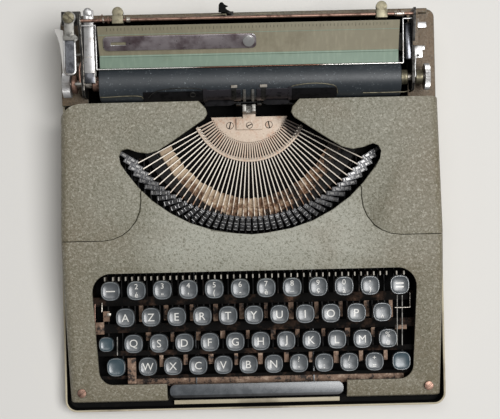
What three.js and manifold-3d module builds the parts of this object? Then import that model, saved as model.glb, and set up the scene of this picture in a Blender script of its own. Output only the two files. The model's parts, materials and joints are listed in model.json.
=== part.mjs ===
// A slim portable typewriter, millimetres, +Z up, -Y towards the typist.
// The origin is on the standing surface, in the middle of the tray.

import * as THREE from 'three';
import * as BufferGeometryUtils from 'three/addons/utils/BufferGeometryUtils.js';
import Module from 'manifold-3d';

const wasm = await Module();
wasm.setup();

const radians = THREE.MathUtils.degToRad;

// Running gap between neighbouring pieces, and how far a cutter overruns what it cuts
const gap = 0.3;
const overrun = 5;

// Key levers, all on one fulcrum rod. A key takes every fourth lever place
const leverPitch = 4.7625;
const leverThickness = 1;
const leverBottom = 19.5;
const leverTop = 24.5;
const leverHookReach = 2;
const fulcrumY = 60;
const fulcrumRadius = 1.2;
const headY = -49.2;
const headLength = 3;
const headTop = 42;
const stemHalf = 2;
const linkBarHeight = 3;
const linkBarDrop = 3.5;
const linkBarRearY = 50;
const linkBarPitch = 8;
const linkBarLength = 3;
const leversPerKeyCount = 4;
const firstLeverIndex = [-18, -20, -19, -17];
const rowKeyCount = [10, 11, 11, 10];

// Key caps
const capRadius = 7.1;
const capTopRadius = 6.3;
const capHeight = 4.6;
const capSides = 12;
const capSquarenessShare = 0.72;
const lockCapRadius = 5.6;
const digitRowY = -55.5;
const digitRowTop = 58.5;
const rowPitch = 20.5;
const frontRowPitch = 18.4;
const rowStep = 8.5;
const homeNames = ['q', 's', 'd', 'f', 'g', 'h', 'j', 'k', 'l', 'm', 'u_accent'];
const homeKeyOfTypebarIndex = 5;

// Keys beside the letters, each as far from the last letter of its row
const marginReleaseReach = 19.05;
const backspaceReach = 21.8;
const shiftLockReach = 20.4;
const shiftLeftReach = 24;
const shiftRightReach = 20.4;
const shiftLeverLeftOffset = 4.6;
const shiftLeverRightOffset = 2.1;

// Space bar, carried by two arms between the key levers
const spaceX = 1;
const spaceReach = 20;
const spaceLength = 132;
const spaceDepth = 10;
const spaceEndShare = 0.45;
const spaceTop = 27.5;
const spaceThickness = 5;
const spaceArmLeverCount = 9.5;
const spaceArmBottom = 12;
const spaceArmTop = 16.5;

// Main frame
const frameMargin = 4;
const framePlate = 2;
const frameFrontReach = 3.9;
const frameFrontTop = 20;
const frameKeysTop = 27;
const frameTop = 33;
const frameRearTop = 27.7;
const stripThickness = 1.5;
const basketPlateBottom = 25;
const basketPlateMargin = 0.3;
const basketPlateAngle = 76;
const floorPlateInset = 1.8;
const floorPlateThickness = 3;
const spoolBracket = 22;
const spoolBracketThickness = 1.5;

// Covers
const frameToCover = 14.5;
const coverWall = 1.5;
const coverShoulder = 6.5;
const coverDraft = 1.6;
const coverNose = 3.3;
const coverRearMargin = 0.6;
const coverFrontHeight = 24;
const coverKeysHeight = 50;
const coverBasketHeight = 53;
const coverRearHeight = 61;
const coverFlare = 3.4;
const coverNoseRadius = 4;
const leftRearCorner = 18;
const rightRearCorner = 6;
const seamGap = 0.4;
const seamRadius = 28.5;
const screwRadius = 3.4;
const screwHead = 1.6;
const screwInset = 6.4;
const screwSlotShare = 1 / 7;
const coverScrewAngle = 40;

// Keyboard opening and the notch for the space bar
const keysOpeningX = 1;
const keysOpeningMargin = 3;
const keysOpeningFrontMargin = 7.2;
const keysOpeningRearMargin = 5.2;
const keysOpeningFlare = 2;
const keysRearCorner = 15;
const keysFrontCorner = 10;
const keysOpeningSteps = 4;
const notchOffset = 0.4;
const notchMargin = 2.5;

// Type basket opening: half outline as shares of its half width and of its depth
const basketHalf = 96.4;
const basketDepth = 98.9;
const basketOutlineShares = [
  [0.44, 1.06], [0.33, 0.94], [0.318, 0.90], [0.34, 0.862], [0.42, 0.81], [0.60, 0.695], [0.70, 0.636],
  [0.78, 0.616], [0.86, 0.628], [0.93, 0.653], [0.975, 0.645], [0.998, 0.60], [0.99, 0.545], [0.94, 0.47],
  [0.86, 0.37], [0.753, 0.264], [0.622, 0.172], [0.474, 0.095], [0.315, 0.042], [0.115, 0.009], [0, 0],
];

// Feet and tray
const trayTop = 18;
const trayWall = 1.5;
const trayMargin = 1.5;
const trayFrontMargin = 6.3;
const trayCorner = 9;
const footHeight = 5;
const footRadius = 8;
const footInsetX = 25;
const footInsetY = 23;

// Rear deck behind the covers, open under the carriage
const deckHeight = 40;
const deckRim = 5;
const deckRimDepth = 3.2;
const deckRimInset = 3.6;
const deckMargin = 1.6;
const deckOpeningMarginLeft = 2;
const deckOpeningMarginRight = 3;
const deckCorner = 6;
const lockSlotInset = 13.8;
const lockSlotWidth = 3.4;
const lockSlotReach = 34.2;
const lockSlotLength = 15;

// Type fan and typebars, which all strike the printing point
const printY = 82.8;
const pivotRadius = 43;
const pivotHeight = 30;
const typebarCount = 42;
const typebarAngle = 3.2;
const typebarRestAngle = 8;
const typebarThickness = 0.7;
const typebarHeight = 2.2;
const typebarTail = 1.4;
const slugWidth = 3.2;
const slugThickness = 2.6;
const slugLength = 16;
const wireRadius = 0.9;
const eyeRadius = 2.2;
const fanInset = 8;
const fanOverhang = 3.4;
const fanRise = 3.5;
const fanRearInset = 12;
const fanEdgeShare = 1.1;
const fulcrumWireShare = 1.02;
const slotWidth = 1.2;
const grooveHalf = 1.5;
const restInset = 3.7;
const restWidth = 8;
const restClearance = 0.5;
const restAngle = 69;

// Type guide, vibrator, ribbon and spools
const guideHalf = 4.8;
const guideSlotHalf = 2.1;
const guideReach = 8.8;
const guideDepth = 5.2;
const guideRise = 2;
const guideFootHalf = 9.8;
const guideFootReach = 20.4;
const guideFootThickness = 2.4;
const guideSlotShare = 0.75;
const vibratorClearance = 0.5;
const vibratorThickness = 1.2;
const vibratorInner = 6;
const vibratorOuter = 9.6;
const vibratorBottom = 36;
const vibratorBridge = 4;
const vibratorTop = 50;
const spoolInset = 12;
const spoolY = 10;
const spoolRadius = 20;
const spoolCoreRadius = 14;
const spoolFlange = 1;
const spoolHeight = 14;
const spoolPinRadius = 2;
const ribbonThickness = 0.5;
const ribbonAngle = 35;
const ribbonCornerInset = 30;
const ribbonCornerReach = 6.8;
const ribbonHeight = 11;
const ribbonClearance = 0.7;

// Carriage rail, which rises with the shift keys
const railMargin = 5;
const railThickness = 4;
const railBottom = 28;
const railInBeam = 3;
const railFootHeight = 3;

// Platen and its knobs. Heights and places of the carriage count from the platen's axis
const platenRadius = 14;
const platenLeft = -108.3;
const platenRight = 110.8;
const shaftRadius = 3;
const shaftOverKnobLeft = 0.8;
const shaftOverKnobRight = 0.7;
const hubRadius = 5.5;
const hubLength = 6;
const knobRadius = 10.2;
const knobAboveDeck = 5.8;
const knobLeftReach = 15.3;
const knobLeftWidth = 7;
const knobRightReach = 9.2;
const knobRightWidth = 5;
const knobRidgeCount = 18;
const knobRidgeDepth = 0.7;

// Carriage frame
const endPlate = 1.8;
const endPlateLeftReach = 12.7;
const endPlateRightReach = 8.2;
const beamAboveDeck = 1;
const beamHeight = 10;
const beamReach = 20.4;
const beamDepth = 12.8;
const beamLip = 1.8;
const flangeRise = 10;
const flangeThickness = 1.8;
const flangeWidth = 10.2;
const bracketWidth = 13.5;
const bracketRise = 8;
const ribThickness = 3;

// Feed roller behind and under the platen
const rollerRadius = 4;
const rollerAngle = 30;
const rollerInsetLeft = 16.3;
const rollerInsetRight = 18.8;
const rollerAxleRadius = 1.6;

// Paper table, paper support and paper bail
const tableInsetLeft = 1;
const tableInsetRight = 1.8;
const tableFrontReach = 9.7;
const tableFrontRise = 11.3;
const tableCreaseReach = 18.4;
const tableCreaseRise = 12.6;
const tableRearReach = 38.2;
const tableRearRise = 24.5;
const tableThickness = 1.2;
const supportPivotX = 0.8;
const supportInset = 3.6;
const supportWidth = 11;
const supportThickness = 1;
const supportAcross = 10;
const supportEndShare = 0.6;
const rivetRadius = 4.2;
const rivetHeight = 1.2;
const supportSlotLength = 11;
const supportSlotWidth = 2.2;
const bailRadius = 1.2;
const bailArmRadius = 1;
const bailAngle = 35;
const bailOverLeft = 1.1;
const bailOverRight = 1.4;
const bailPivotBehind = 2;
const bailPivotDrop = 7.9;

// Margin rail and stops
const marginRailBehind = 3;
const marginRailDrop = 4.5;
const marginRailRadius = 1.6;
const stopInsetLeft = 15.8;
const stopInsetRight = 14.4;
const stopHalf = 4;
const stopBodyHalf = 2.9;
const stopButtonRadius = 4;
const stopButtonReach = 5.2;
const stopButtonHeight = 2;

// Return lever and the strap beside it
const returnPivotOut = 7.7;
const returnPivotBehind = 3.4;
const returnRise = 12.2;
const returnThickness = 1.8;
const returnNeckHalf = 3.6;
const returnEyeRadius = 5;
const returnNeckLength = 13.9;
const returnLength = 41.4;
const returnScoopHalf = 4.6;
const returnScoopShare = 0.8;
const returnFlangeHeight = 7;
const returnFlangeFlare = 6.5;
const returnBoltRadius = 2;
const returnScrewRadius = 4.2;
const returnScrewHead = 2;
const returnScrewAngle = -40;
const strapInset = 2.4;
const strapWidth = 7.4;
const strapReach = 0.8;
const strapLength = 53;
const strapThickness = 1.5;
const strapScrewRadius = 3;
const strapScrewAngle = 70;

// Small levers and inner mechanism
const releaseReach = 17.2;
const releaseRise = 6;
const releaseWidth = 6;
const releaseLength = 9;
const releaseThickness = 2;
const pawlX = -14.5;
const pawlWidth = 9;
const pawlRise = 7.5;
const pawlPointShare = 1 / 6;
const lockTabLength = 8;
const lockTabDepth = 4.4;
const lockTabThickness = 1.5;
const lockTabOffset = 5.3;
const lockTabInset = 6.3;
const innerReach = 15.2;
const drumX = -60;
const drumRadius = 20;
const drumHeight = 15;
const drumPinRadius = 3;
const bellX = 55;
const bellRadius = 14;
const bellHeight = 10;
const bellWall = 1.5;
const bellInnerShare = 0.7;
const bellOuterShare = 0.75;

// Rows of keys
const keyPitch = leverPitch * leversPerKeyCount;
const homeRowY = digitRowY - rowPitch * 2;
const rowY = [digitRowY, digitRowY - rowPitch, homeRowY, homeRowY - frontRowPitch];
const rowTop = [0, 1, 2, 3].map((row) => digitRowTop - row * rowStep);
const rowLeft = firstLeverIndex.map((index) => index * leverPitch);
const rowRight = rowLeft.map((x, row) => x + (rowKeyCount[row] - 1) * keyPitch);
const marginReleaseX = rowLeft[0] - marginReleaseReach;
const backspaceX = rowRight[0] + backspaceReach;
const shiftLockX = rowLeft[2] - shiftLockReach;
const shiftLeftX = rowLeft[3] - shiftLeftReach;
const shiftRightX = rowRight[3] + shiftRightReach;
const shiftLeverLeftX = shiftLeftX + shiftLeverLeftOffset;
const shiftLeverRightX = shiftRightX + shiftLeverRightOffset;
const spaceY = rowY[3] - spaceReach;
const leverMiddle = (leverBottom + leverTop) / 2;
const notchOfLever = fulcrumRadius + gap;
const linkBarTop = leverBottom - linkBarDrop;
const linkBarY = [0, 1, 2, 3].map((bar) => linkBarRearY - bar * linkBarPitch);

// Carriage, from the deck up and from the printing point back
const printHeight = deckHeight + knobAboveDeck + knobRadius;
const platenY = printY + platenRadius;
const endPlateLeft = platenLeft - endPlateLeftReach;
const endPlateRight = platenRight + endPlateRightReach;
const knobLeft = endPlateLeft - knobLeftReach;
const knobRight = endPlateRight + knobRightReach;
const shaftLeft = knobLeft + shaftOverKnobLeft;
const shaftRight = knobRight + knobRightWidth - shaftOverKnobRight;
const beamBottom = deckHeight + beamAboveDeck;
const beamTop = beamBottom + beamHeight;
const beamFront = platenY + beamReach;
const beamRear = beamFront + beamDepth;
const railFront = beamFront + beamLip;
const railTop = beamBottom + railInBeam;
const flangeHeight = printHeight + flangeRise;
const flangeRight = endPlateLeft + flangeWidth;
const bracketLeft = endPlateLeft - bracketWidth;
const bracketHeight = printHeight + bracketRise;
const rollerLeft = platenLeft + rollerInsetLeft;
const rollerRight = platenRight - rollerInsetRight;
const tableLeft = platenLeft + tableInsetLeft;
const tableRight = platenRight - tableInsetRight;
const tableFrontY = platenY + tableFrontReach;
const tableFrontHeight = printHeight + tableFrontRise;
const tableCreaseY = platenY + tableCreaseReach;
const tableCreaseHeight = printHeight + tableCreaseRise;
const tableRearY = platenY + tableRearReach;
const tableRearHeight = printHeight + tableRearRise;
const tableSlope = Math.atan2(tableRearHeight - tableCreaseHeight, tableRearY - tableCreaseY);
const supportLeft = tableLeft + supportInset;
const bailLeft = platenLeft - bailOverLeft;
const bailRight = platenRight + bailOverRight;
const bailPivotY = tableRearY + bailPivotBehind;
const bailPivotHeight = tableRearHeight - bailPivotDrop;
const marginRailY = bailPivotY + marginRailBehind;
const marginRailHeight = tableRearHeight - marginRailDrop;
const stopLeftX = platenLeft + stopInsetLeft;
const stopRightX = platenRight - stopInsetRight;
const stopButtonY = marginRailY + stopButtonReach;
const leverPivotX = endPlateLeft - returnPivotOut;
const leverPivotY = marginRailY + returnPivotBehind;
const returnHeight = printHeight + returnRise;
const returnNeckEnd = leverPivotY - returnNeckLength;
const returnScoopEnd = leverPivotY - returnLength;
const strapLeft = endPlateLeft + strapInset;
const strapRight = strapLeft + strapWidth;
const strapFront = platenY - strapReach;
const strapRear = strapFront + strapLength;
const releasePivotY = platenY + releaseReach;
const releaseHeight = printHeight + releaseRise;
const pawlTop = printHeight + pawlRise;
const innerY = platenY + innerReach;

// Frame, covers, deck and tray, each round what it holds
const frameHalf = shiftRightX + capRadius + frameMargin;
const frameFrontY = rowY[3] - capRadius - frameFrontReach;
const railHalf = frameHalf - railMargin;
const railFootHalf = frameHalf + framePlate;
const coverHalf = frameHalf + framePlate + frameToCover + coverWall;
const coverFrontY = spaceY - spaceDepth / 2 - coverNose;
const coverRearY = printY - coverRearMargin;
const screwX = coverHalf - coverWall - screwInset;
const screwY = spaceY;
const spoolX = frameHalf - spoolInset;
const keysOpeningHalf = frameHalf - keysOpeningMargin;
const keysOpeningFront = rowY[3] - capRadius - keysOpeningFrontMargin;
const keysOpeningRear = digitRowY + capRadius + keysOpeningRearMargin;
const notchX = spaceX + notchOffset;
const notchHalf = spaceLength / 2 + notchMargin;
const basketFront = printY - basketDepth;
const deckRimHeight = deckHeight + deckRim;
const deckOpeningLeft = -frameHalf + deckOpeningMarginLeft;
const deckOpeningRight = frameHalf - deckOpeningMarginRight;
const deckOpeningRear = marginRailY + stopHalf + deckMargin;
const deckRearY = deckOpeningRear + deckRimInset;
const frameRearY = deckRearY - deckRimDepth;
const floorPlateFront = coverRearY + floorPlateInset;
const lockSlotX = coverHalf - coverWall - lockSlotInset;
const lockSlotFront = platenY + lockSlotReach;
const lockSlotRear = lockSlotFront + lockSlotLength;
const lockTabX = lockSlotX + lockTabOffset;
const lockTabY = lockSlotFront + lockTabInset;
const trayHalf = coverHalf + trayMargin + trayWall;
const trayFront = coverFrontY - trayFrontMargin - trayWall;
const trayRear = deckRearY + gap + trayWall;
const trayFloor = footHeight + trayWall;
const seatHeight = trayFloor + gap;

// Type basket
const basketPlateTop = basketPlateBottom + stripThickness;
const fanBottom = basketPlateTop + gap;
const fanTop = pivotHeight + fanRise;
const fanInner = pivotRadius - fanInset;
const fanOuter = pivotRadius + fanOverhang;
const slugY = printY - gap - slugThickness / 2;
const strikeRun = pivotRadius - (printY - slugY);
const strikeRise = printHeight - pivotHeight;
const strikeAngle = Math.atan2(strikeRise, strikeRun);
const typebarLength = Math.hypot(strikeRise, strikeRun);
const swing = Math.PI - strikeAngle - radians(typebarRestAngle);
const slugRadius = pivotRadius + typebarLength * Math.cos(radians(typebarRestAngle));
const restOuter = slugRadius - restInset;
const restInner = restOuter - restWidth;
const barUnderside = (restInner - pivotRadius) * Math.tan(radians(typebarRestAngle)) - typebarHeight / 2;
const restTop = pivotHeight + barUnderside - restClearance;
const basketPlateRadius = slugRadius + basketPlateMargin;
const spoolBottom = frameTop + spoolBracketThickness + gap;
const guideFront = printY - guideReach;
const guideRear = guideFront + guideDepth;
const guideTop = printHeight + guideRise;
const guideFootFront = printY - guideFootReach;
const vibratorY = guideRear + vibratorClearance;
const ribbonFrontY = vibratorY + vibratorThickness + ribbonClearance;
const ribbonCornerX = spoolX - ribbonCornerInset;
const ribbonCornerY = printY - ribbonCornerReach;

// Finishes
function finish(color, roughness, metalness) {
  return new THREE.MeshStandardMaterial({ color, roughness, metalness });
}
const casingPaint = finish(0x8a8a78, 0.7, 0.1);
const deckPaint = finish(0x6b6450, 0.7, 0.1);
const trayPaint = finish(0xa39a85, 0.7, 0.1);
const rustyIron = finish(0x6e5a4a, 0.8, 0.5);
const brightSteel = finish(0xb8b4ac, 0.35, 1);
const chrome = finish(0xd0ccc6, 0.15, 1);
const darkSteel = finish(0x2c2c2e, 0.5, 0.8);
const blackRubber = finish(0x30363c, 0.6, 0);
const keyPlastic = finish(0x39424c, 0.3, 0);
const blackPlastic = finish(0x1e1f22, 0.25, 0);
const segmentMetal = finish(0xb59c86, 0.7, 0.4);
const felt = finish(0xa08c72, 0.95, 0);
const copper = finish(0x9a4a3a, 0.5, 0.8);
const brass = finish(0xa08a5a, 0.4, 0.9);
const tablePaint = finish(0x7a8068, 0.6, 0.1);
const ribbonCloth = finish(0x101014, 0.9, 0);

// Solids: each is a plain triangle list, joined and cut where a piece needs it
const alongX = new THREE.Matrix4().makeBasis(
  new THREE.Vector3(0, 1, 0), new THREE.Vector3(0, 0, 1), new THREE.Vector3(1, 0, 0));
const alongY = new THREE.Matrix4().makeBasis(
  new THREE.Vector3(1, 0, 0), new THREE.Vector3(0, 0, 1), new THREE.Vector3(0, -1, 0));

function merged(geometry) {
  const plain = geometry.clone();
  plain.deleteAttribute('normal');
  plain.deleteAttribute('uv');
  return BufferGeometryUtils.mergeVertices(plain);
}

function solid(geometry) {
  const plain = merged(geometry);
  const vertProperties = new Float32Array(plain.attributes.position.array);
  const triVerts = new Uint32Array(plain.index.array);
  return new wasm.Manifold(new wasm.Mesh({ numProp: 3, vertProperties, triVerts }));
}

function fromSolid(body) {
  const mesh = body.getMesh();
  const geometry = new THREE.BufferGeometry();
  geometry.setAttribute('position', new THREE.BufferAttribute(new Float32Array(mesh.vertProperties), 3));
  geometry.setIndex(new THREE.BufferAttribute(new Uint32Array(mesh.triVerts), 1));
  return geometry;
}

function join(...geometries) {
  const bodies = geometries.map(solid);
  return fromSolid(bodies.reduce((whole, body) => whole.add(body)));
}

function cut(geometry, ...cutters) {
  return fromSolid(cutters.reduce((rest, cutter) => rest.subtract(solid(cutter)), solid(geometry)));
}

function common(geometry, other) {
  return fromSolid(solid(geometry).intersect(solid(other)));
}

function box(x0, x1, y0, y1, z0, z1) {
  const geometry = new THREE.BoxGeometry(x1 - x0, y1 - y0, z1 - z0);
  return geometry.translate((x0 + x1) / 2, (y0 + y1) / 2, (z0 + z1) / 2);
}

function outline(points) {
  return new THREE.Shape(points.map(([x, y]) => new THREE.Vector2(x, y)));
}

function extruded(shape, depth) {
  return new THREE.ExtrudeGeometry(shape, { depth, bevelEnabled: false, curveSegments: 3 });
}

// A plan outline raised from z0 to z1
function plate(shape, z0, z1) {
  return extruded(shape, z1 - z0).translate(0, 0, z0);
}

// An outline in Y and Z carried from x0 to x1
function sideways(points, x0, x1) {
  return extruded(outline(points), x1 - x0).applyMatrix4(alongX).translate(x0, 0, 0);
}

// An outline in X and Z carried from y0 to y1
function lengthways(points, y0, y1) {
  return extruded(outline(points), y1 - y0).applyMatrix4(alongY).translate(0, y1, 0);
}

function rod(radius, length, sides) {
  return new THREE.CylinderGeometry(radius, radius, length, sides);
}

function rodX(radius, x0, x1, y, z, sides) {
  return rod(radius, x1 - x0, sides).rotateZ(Math.PI / 2).translate((x0 + x1) / 2, y, z);
}

function rodZ(radius, x, y, z0, z1, sides) {
  return rod(radius, z1 - z0, sides).rotateX(Math.PI / 2).translate(x, y, (z0 + z1) / 2);
}

// The round head of a screw with a slot across it
function slottedHead(x, y, z, radius, height, angle) {
  const head = rodZ(radius, x, y, z, z + height, 16);
  const half = radius * screwSlotShare;
  const slot = box(-radius * 2, radius * 2, -half, half, height / 2, height * 2);
  return cut(head, slot.rotateZ(radians(angle)).translate(x, y, z));
}

function roundedRectangle(x0, x1, y0, y1, frontRadius, rearRadius) {
  const shape = new THREE.Shape();
  shape.moveTo(x0 + frontRadius, y0);
  shape.lineTo(x1 - frontRadius, y0);
  shape.absarc(x1 - frontRadius, y0 + frontRadius, frontRadius, -Math.PI / 2, 0, false);
  shape.lineTo(x1, y1 - rearRadius);
  shape.absarc(x1 - rearRadius, y1 - rearRadius, rearRadius, 0, Math.PI / 2, false);
  shape.lineTo(x0 + rearRadius, y1);
  shape.absarc(x0 + rearRadius, y1 - rearRadius, rearRadius, Math.PI / 2, Math.PI, false);
  shape.lineTo(x0, y0 + frontRadius);
  shape.absarc(x0 + frontRadius, y0 + frontRadius, frontRadius, Math.PI, Math.PI * 1.5, false);
  return shape;
}

// A skin over rings of equal count, closed by a flat fan at each end, turned to face out
function loft(rings) {
  const count = rings[0].length;
  const positions = rings.flat().flatMap((point) => [point.x, point.y, point.z]);
  const faces = [];
  for (let ring = 0; ring + 1 < rings.length; ring += 1) {
    for (let at = 0; at < count; at += 1) {
      const next = (at + 1) % count;
      const low = ring * count;
      const high = low + count;
      faces.push([low + at, low + next, high + next], [low + at, high + next, high + at]);
    }
  }
  const last = (rings.length - 1) * count;
  for (let at = 1; at + 1 < count; at += 1) {
    faces.push([0, at + 1, at], [last, last + at, last + at + 1]);
  }
  const corner = (index) => new THREE.Vector3().fromArray(positions, index * 3);
  const volume = faces.reduce((sum, [a, b, c]) => sum + corner(a).dot(corner(b).cross(corner(c))), 0);
  const outward = volume < 0 ? faces.map(([a, b, c]) => [a, c, b]) : faces;
  const geometry = new THREE.BufferGeometry();
  geometry.setAttribute('position', new THREE.Float32BufferAttribute(positions, 3));
  geometry.setIndex(outward.flat());
  return geometry;
}

// A rod bent along a curve
function bentRod(points, radius, sides, steps) {
  const section = new THREE.Shape();
  section.absarc(0, 0, radius, 0, Math.PI * 2, false);
  const path = new THREE.CurvePath();
  for (let at = 0; at + 1 < points.length; at += 1) {
    path.add(new THREE.LineCurve3(points[at], points[at + 1]));
  }
  const curve = steps ? new THREE.CatmullRomCurve3(points, false, 'centripetal') : path;
  const options = {
    steps: steps || points.length - 1, bevelEnabled: false, curveSegments: sides, extrudePath: curve,
  };
  return new THREE.ExtrudeGeometry(section, options);
}

const typewriter = new THREE.Group();

function piece(name, geometry, material) {
  const mesh = new THREE.Mesh(merged(geometry), material);
  mesh.name = name;
  typewriter.add(mesh);
  return mesh;
}

// Tray and feet

// The tray's plan, which widens along the covers as they do
function trayPlan(inset) {
  const corner = trayCorner - inset;
  const narrow = trayHalf - inset;
  const wide = narrow + coverFlare;
  const front = trayFront + inset;
  const rear = trayRear - inset;
  const shape = new THREE.Shape();
  shape.moveTo(-wide + corner, front);
  shape.lineTo(wide - corner, front);
  shape.absarc(wide - corner, front + corner, corner, -Math.PI / 2, 0, false);
  shape.lineTo(wide, basketFront);
  shape.lineTo(narrow, coverRearY);
  shape.lineTo(narrow, rear - corner);
  shape.absarc(narrow - corner, rear - corner, corner, 0, Math.PI / 2, false);
  shape.lineTo(-narrow + corner, rear);
  shape.absarc(-narrow + corner, rear - corner, corner, Math.PI / 2, Math.PI, false);
  shape.lineTo(-narrow, coverRearY);
  shape.lineTo(-wide, basketFront);
  shape.lineTo(-wide, front + corner);
  shape.absarc(-wide + corner, front + corner, corner, Math.PI, Math.PI * 1.5, false);
  return shape;
}

function baseTray() {
  const inner = plate(trayPlan(trayWall), trayFloor, trayTop + overrun);
  return cut(plate(trayPlan(0), footHeight, trayTop), inner);
}
piece('base_tray', baseTray(), trayPaint);

for (const [sideX, columnName] of [[-1, 'left'], [1, 'right']]) {
  for (const [y, rowName] of [[trayFront + footInsetY, 'front'], [trayRear - footInsetY, 'rear']]) {
    const x = sideX * (trayHalf - footInsetX);
    piece(`foot_${rowName}_${columnName}`, rodZ(footRadius, x, y, 0, footHeight, 16), blackRubber);
  }
}

// Covers: one pressed shell, parted along the seams into the top cover and the two ribbon covers

const noseShare = 0.3;
const coverSplitShare = 0.75;
const coverThroatShare = 0.342;
function coverHeight(y) {
  const stations = [
    [coverFrontY + coverNoseRadius, coverFrontHeight], [keysOpeningRear, coverKeysHeight],
    [basketFront, coverBasketHeight], [coverRearY + overrun, coverRearHeight],
  ];
  const at = stations.findIndex(([place]) => y <= place);
  if (at <= 0) {
    return coverFrontHeight;
  }
  const [y0, z0] = stations[at - 1];
  const [y1, z1] = stations[at];
  return z0 + (z1 - z0) * (y - y0) / (y1 - y0);
}

// Half width of the covers: they widen from their rear edge to the type basket
function coverSide(y) {
  return coverHalf + coverFlare * Math.min(1, (coverRearY - y) / (coverRearY - basketFront));
}

const shoulderAngles = [0, 15, 30, 45, 60, 75, 90];
function coverRing(y, height, inset) {
  const half = coverSide(y) - inset;
  const top = height - inset;
  const bottom = inset ? seatHeight - overrun : seatHeight;
  const shoulder = coverShoulder - inset;
  const ring = [new THREE.Vector3(-half, y, bottom), new THREE.Vector3(half, y, bottom)];
  const centre = half - coverDraft - shoulder;
  for (const angle of shoulderAngles) {
    const out = centre + shoulder * Math.cos(radians(angle));
    ring.push(new THREE.Vector3(out, y, top - shoulder + shoulder * Math.sin(radians(angle))));
  }
  for (const angle of [...shoulderAngles].reverse()) {
    const out = centre + shoulder * Math.cos(radians(angle));
    ring.push(new THREE.Vector3(-out, y, top - shoulder + shoulder * Math.sin(radians(angle))));
  }
  return ring;
}

function coverBody(inset, rear) {
  const nose = coverNoseRadius - inset;
  const front = coverFrontY + inset;
  const stations = [
    [front, coverFrontHeight - nose], [front + nose * noseShare, coverFrontHeight - nose * noseShare],
    [front + nose, coverFrontHeight], [keysOpeningRear, coverKeysHeight], [basketFront, coverBasketHeight],
    [rear, coverHeight(rear)],
  ];
  return loft(stations.map(([y, height]) => coverRing(y, height, inset)));
}

function basketPoints(side) {
  const depth = printY - basketFront;
  return basketOutlineShares.map(([x, y]) => new THREE.Vector2(side * x * basketHalf, basketFront + y * depth));
}

function basketOpening() {
  const right = basketPoints(1);
  const left = basketPoints(-1).reverse().slice(1);
  return plate(new THREE.Shape([...right, ...left]), 0, coverRearHeight + overrun);
}

// The plan of a ribbon cover, grown by the seam gap where it is cut from the top cover
function ribbonCoverPlan(side, grow) {
  const far = coverHalf + coverFlare + overrun;
  const rear = coverRearY + overrun;
  const points = [[0, rear], [side * far, rear], [side * far, spoolY - seamRadius - grow]];
  for (const angle of [270, 255, 240, 225, 210, 195, 180]) {
    const radius = seamRadius + grow;
    const x = spoolX + radius * Math.cos(radians(angle));
    points.push([side * x, spoolY + radius * Math.sin(radians(angle))]);
  }
  const inside = basketHalf * coverSplitShare;
  const middle = (basketFront + printY) / 2;
  points.push([side * (spoolX - seamRadius - grow), spoolY + coverShoulder], [side * inside, middle]);
  const throat = basketHalf * coverThroatShare;
  points.push([side * throat, middle + throat], [0, middle + throat]);
  return plate(outline(side > 0 ? points.reverse() : points), 0, coverRearHeight + overrun);
}

function coverShell() {
  return cut(coverBody(0, coverRearY), coverBody(coverWall, coverRearY + overrun), basketOpening());
}
const shell = coverShell();

// Round plan corner at the rear of a ribbon cover
function rearCornerCut(side, radius) {
  const half = coverSide(coverRearY - radius);
  const x0 = Math.min(side * half, side * (half - radius));
  const block = box(x0 - overrun, x0 + radius + overrun, coverRearY - radius, coverRearY + overrun,
    0, coverRearHeight + overrun);
  const centreX = side * (half - radius);
  const keep = rodZ(radius, centreX, coverRearY - radius, -overrun, coverRearHeight + overrun * 2, 24);
  const inner = box(Math.min(0, centreX), Math.max(0, centreX), 0, coverRearY + overrun * 2,
    -overrun, coverRearHeight + overrun * 2);
  return cut(block, keep, inner);
}

// The keyboard opening, wider at its rear
function keysOpening() {
  const even = roundedRectangle(-keysOpeningHalf, keysOpeningHalf, keysOpeningFront, keysOpeningRear,
    keysFrontCorner, keysRearCorner);
  const points = even.getPoints(keysOpeningSteps).map(({ x, y }) => {
    const share = (y - keysOpeningFront) / (keysOpeningRear - keysOpeningFront);
    return [keysOpeningX + x * (1 + share * keysOpeningFlare / keysOpeningHalf), y];
  });
  return plate(outline(points), trayTop - overrun, coverRearHeight);
}

function topCover() {
  const notch = box(notchX - notchHalf, notchX + notchHalf, coverFrontY - overrun, keysOpeningFront + overrun,
    0, coverRearHeight);
  const holes = [-1, 1].map((side) => rodZ(screwRadius - gap * 3, side * screwX, screwY,
    trayTop, coverRearHeight, 12));
  return cut(shell, ribbonCoverPlan(-1, seamGap), ribbonCoverPlan(1, seamGap),
    keysOpening(), notch, ...holes);
}
piece('top_cover', topCover(), casingPaint);

function ribbonCover(side, corner) {
  return cut(common(shell, ribbonCoverPlan(side, 0)), rearCornerCut(side, corner));
}
piece('ribbon_cover_left', ribbonCover(-1, leftRearCorner), casingPaint);
piece('ribbon_cover_right', ribbonCover(1, rightRearCorner), casingPaint);

// Slotted screws that hold the top cover's front corners
const screwTop = coverHeight(screwY + screwRadius) + gap;
for (const [place, side] of [['left', -1], ['right', 1]]) {
  const x = side * screwX;
  const shank = rodZ(screwRadius / 2, x, screwY, seatHeight, screwTop + gap, 8);
  const head = slottedHead(x, screwY, screwTop, screwRadius, screwHead, coverScrewAngle);
  piece(`cover_screw_${place}`, join(head, shank), copper);
}

// Rear deck, open under the carriage

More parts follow.
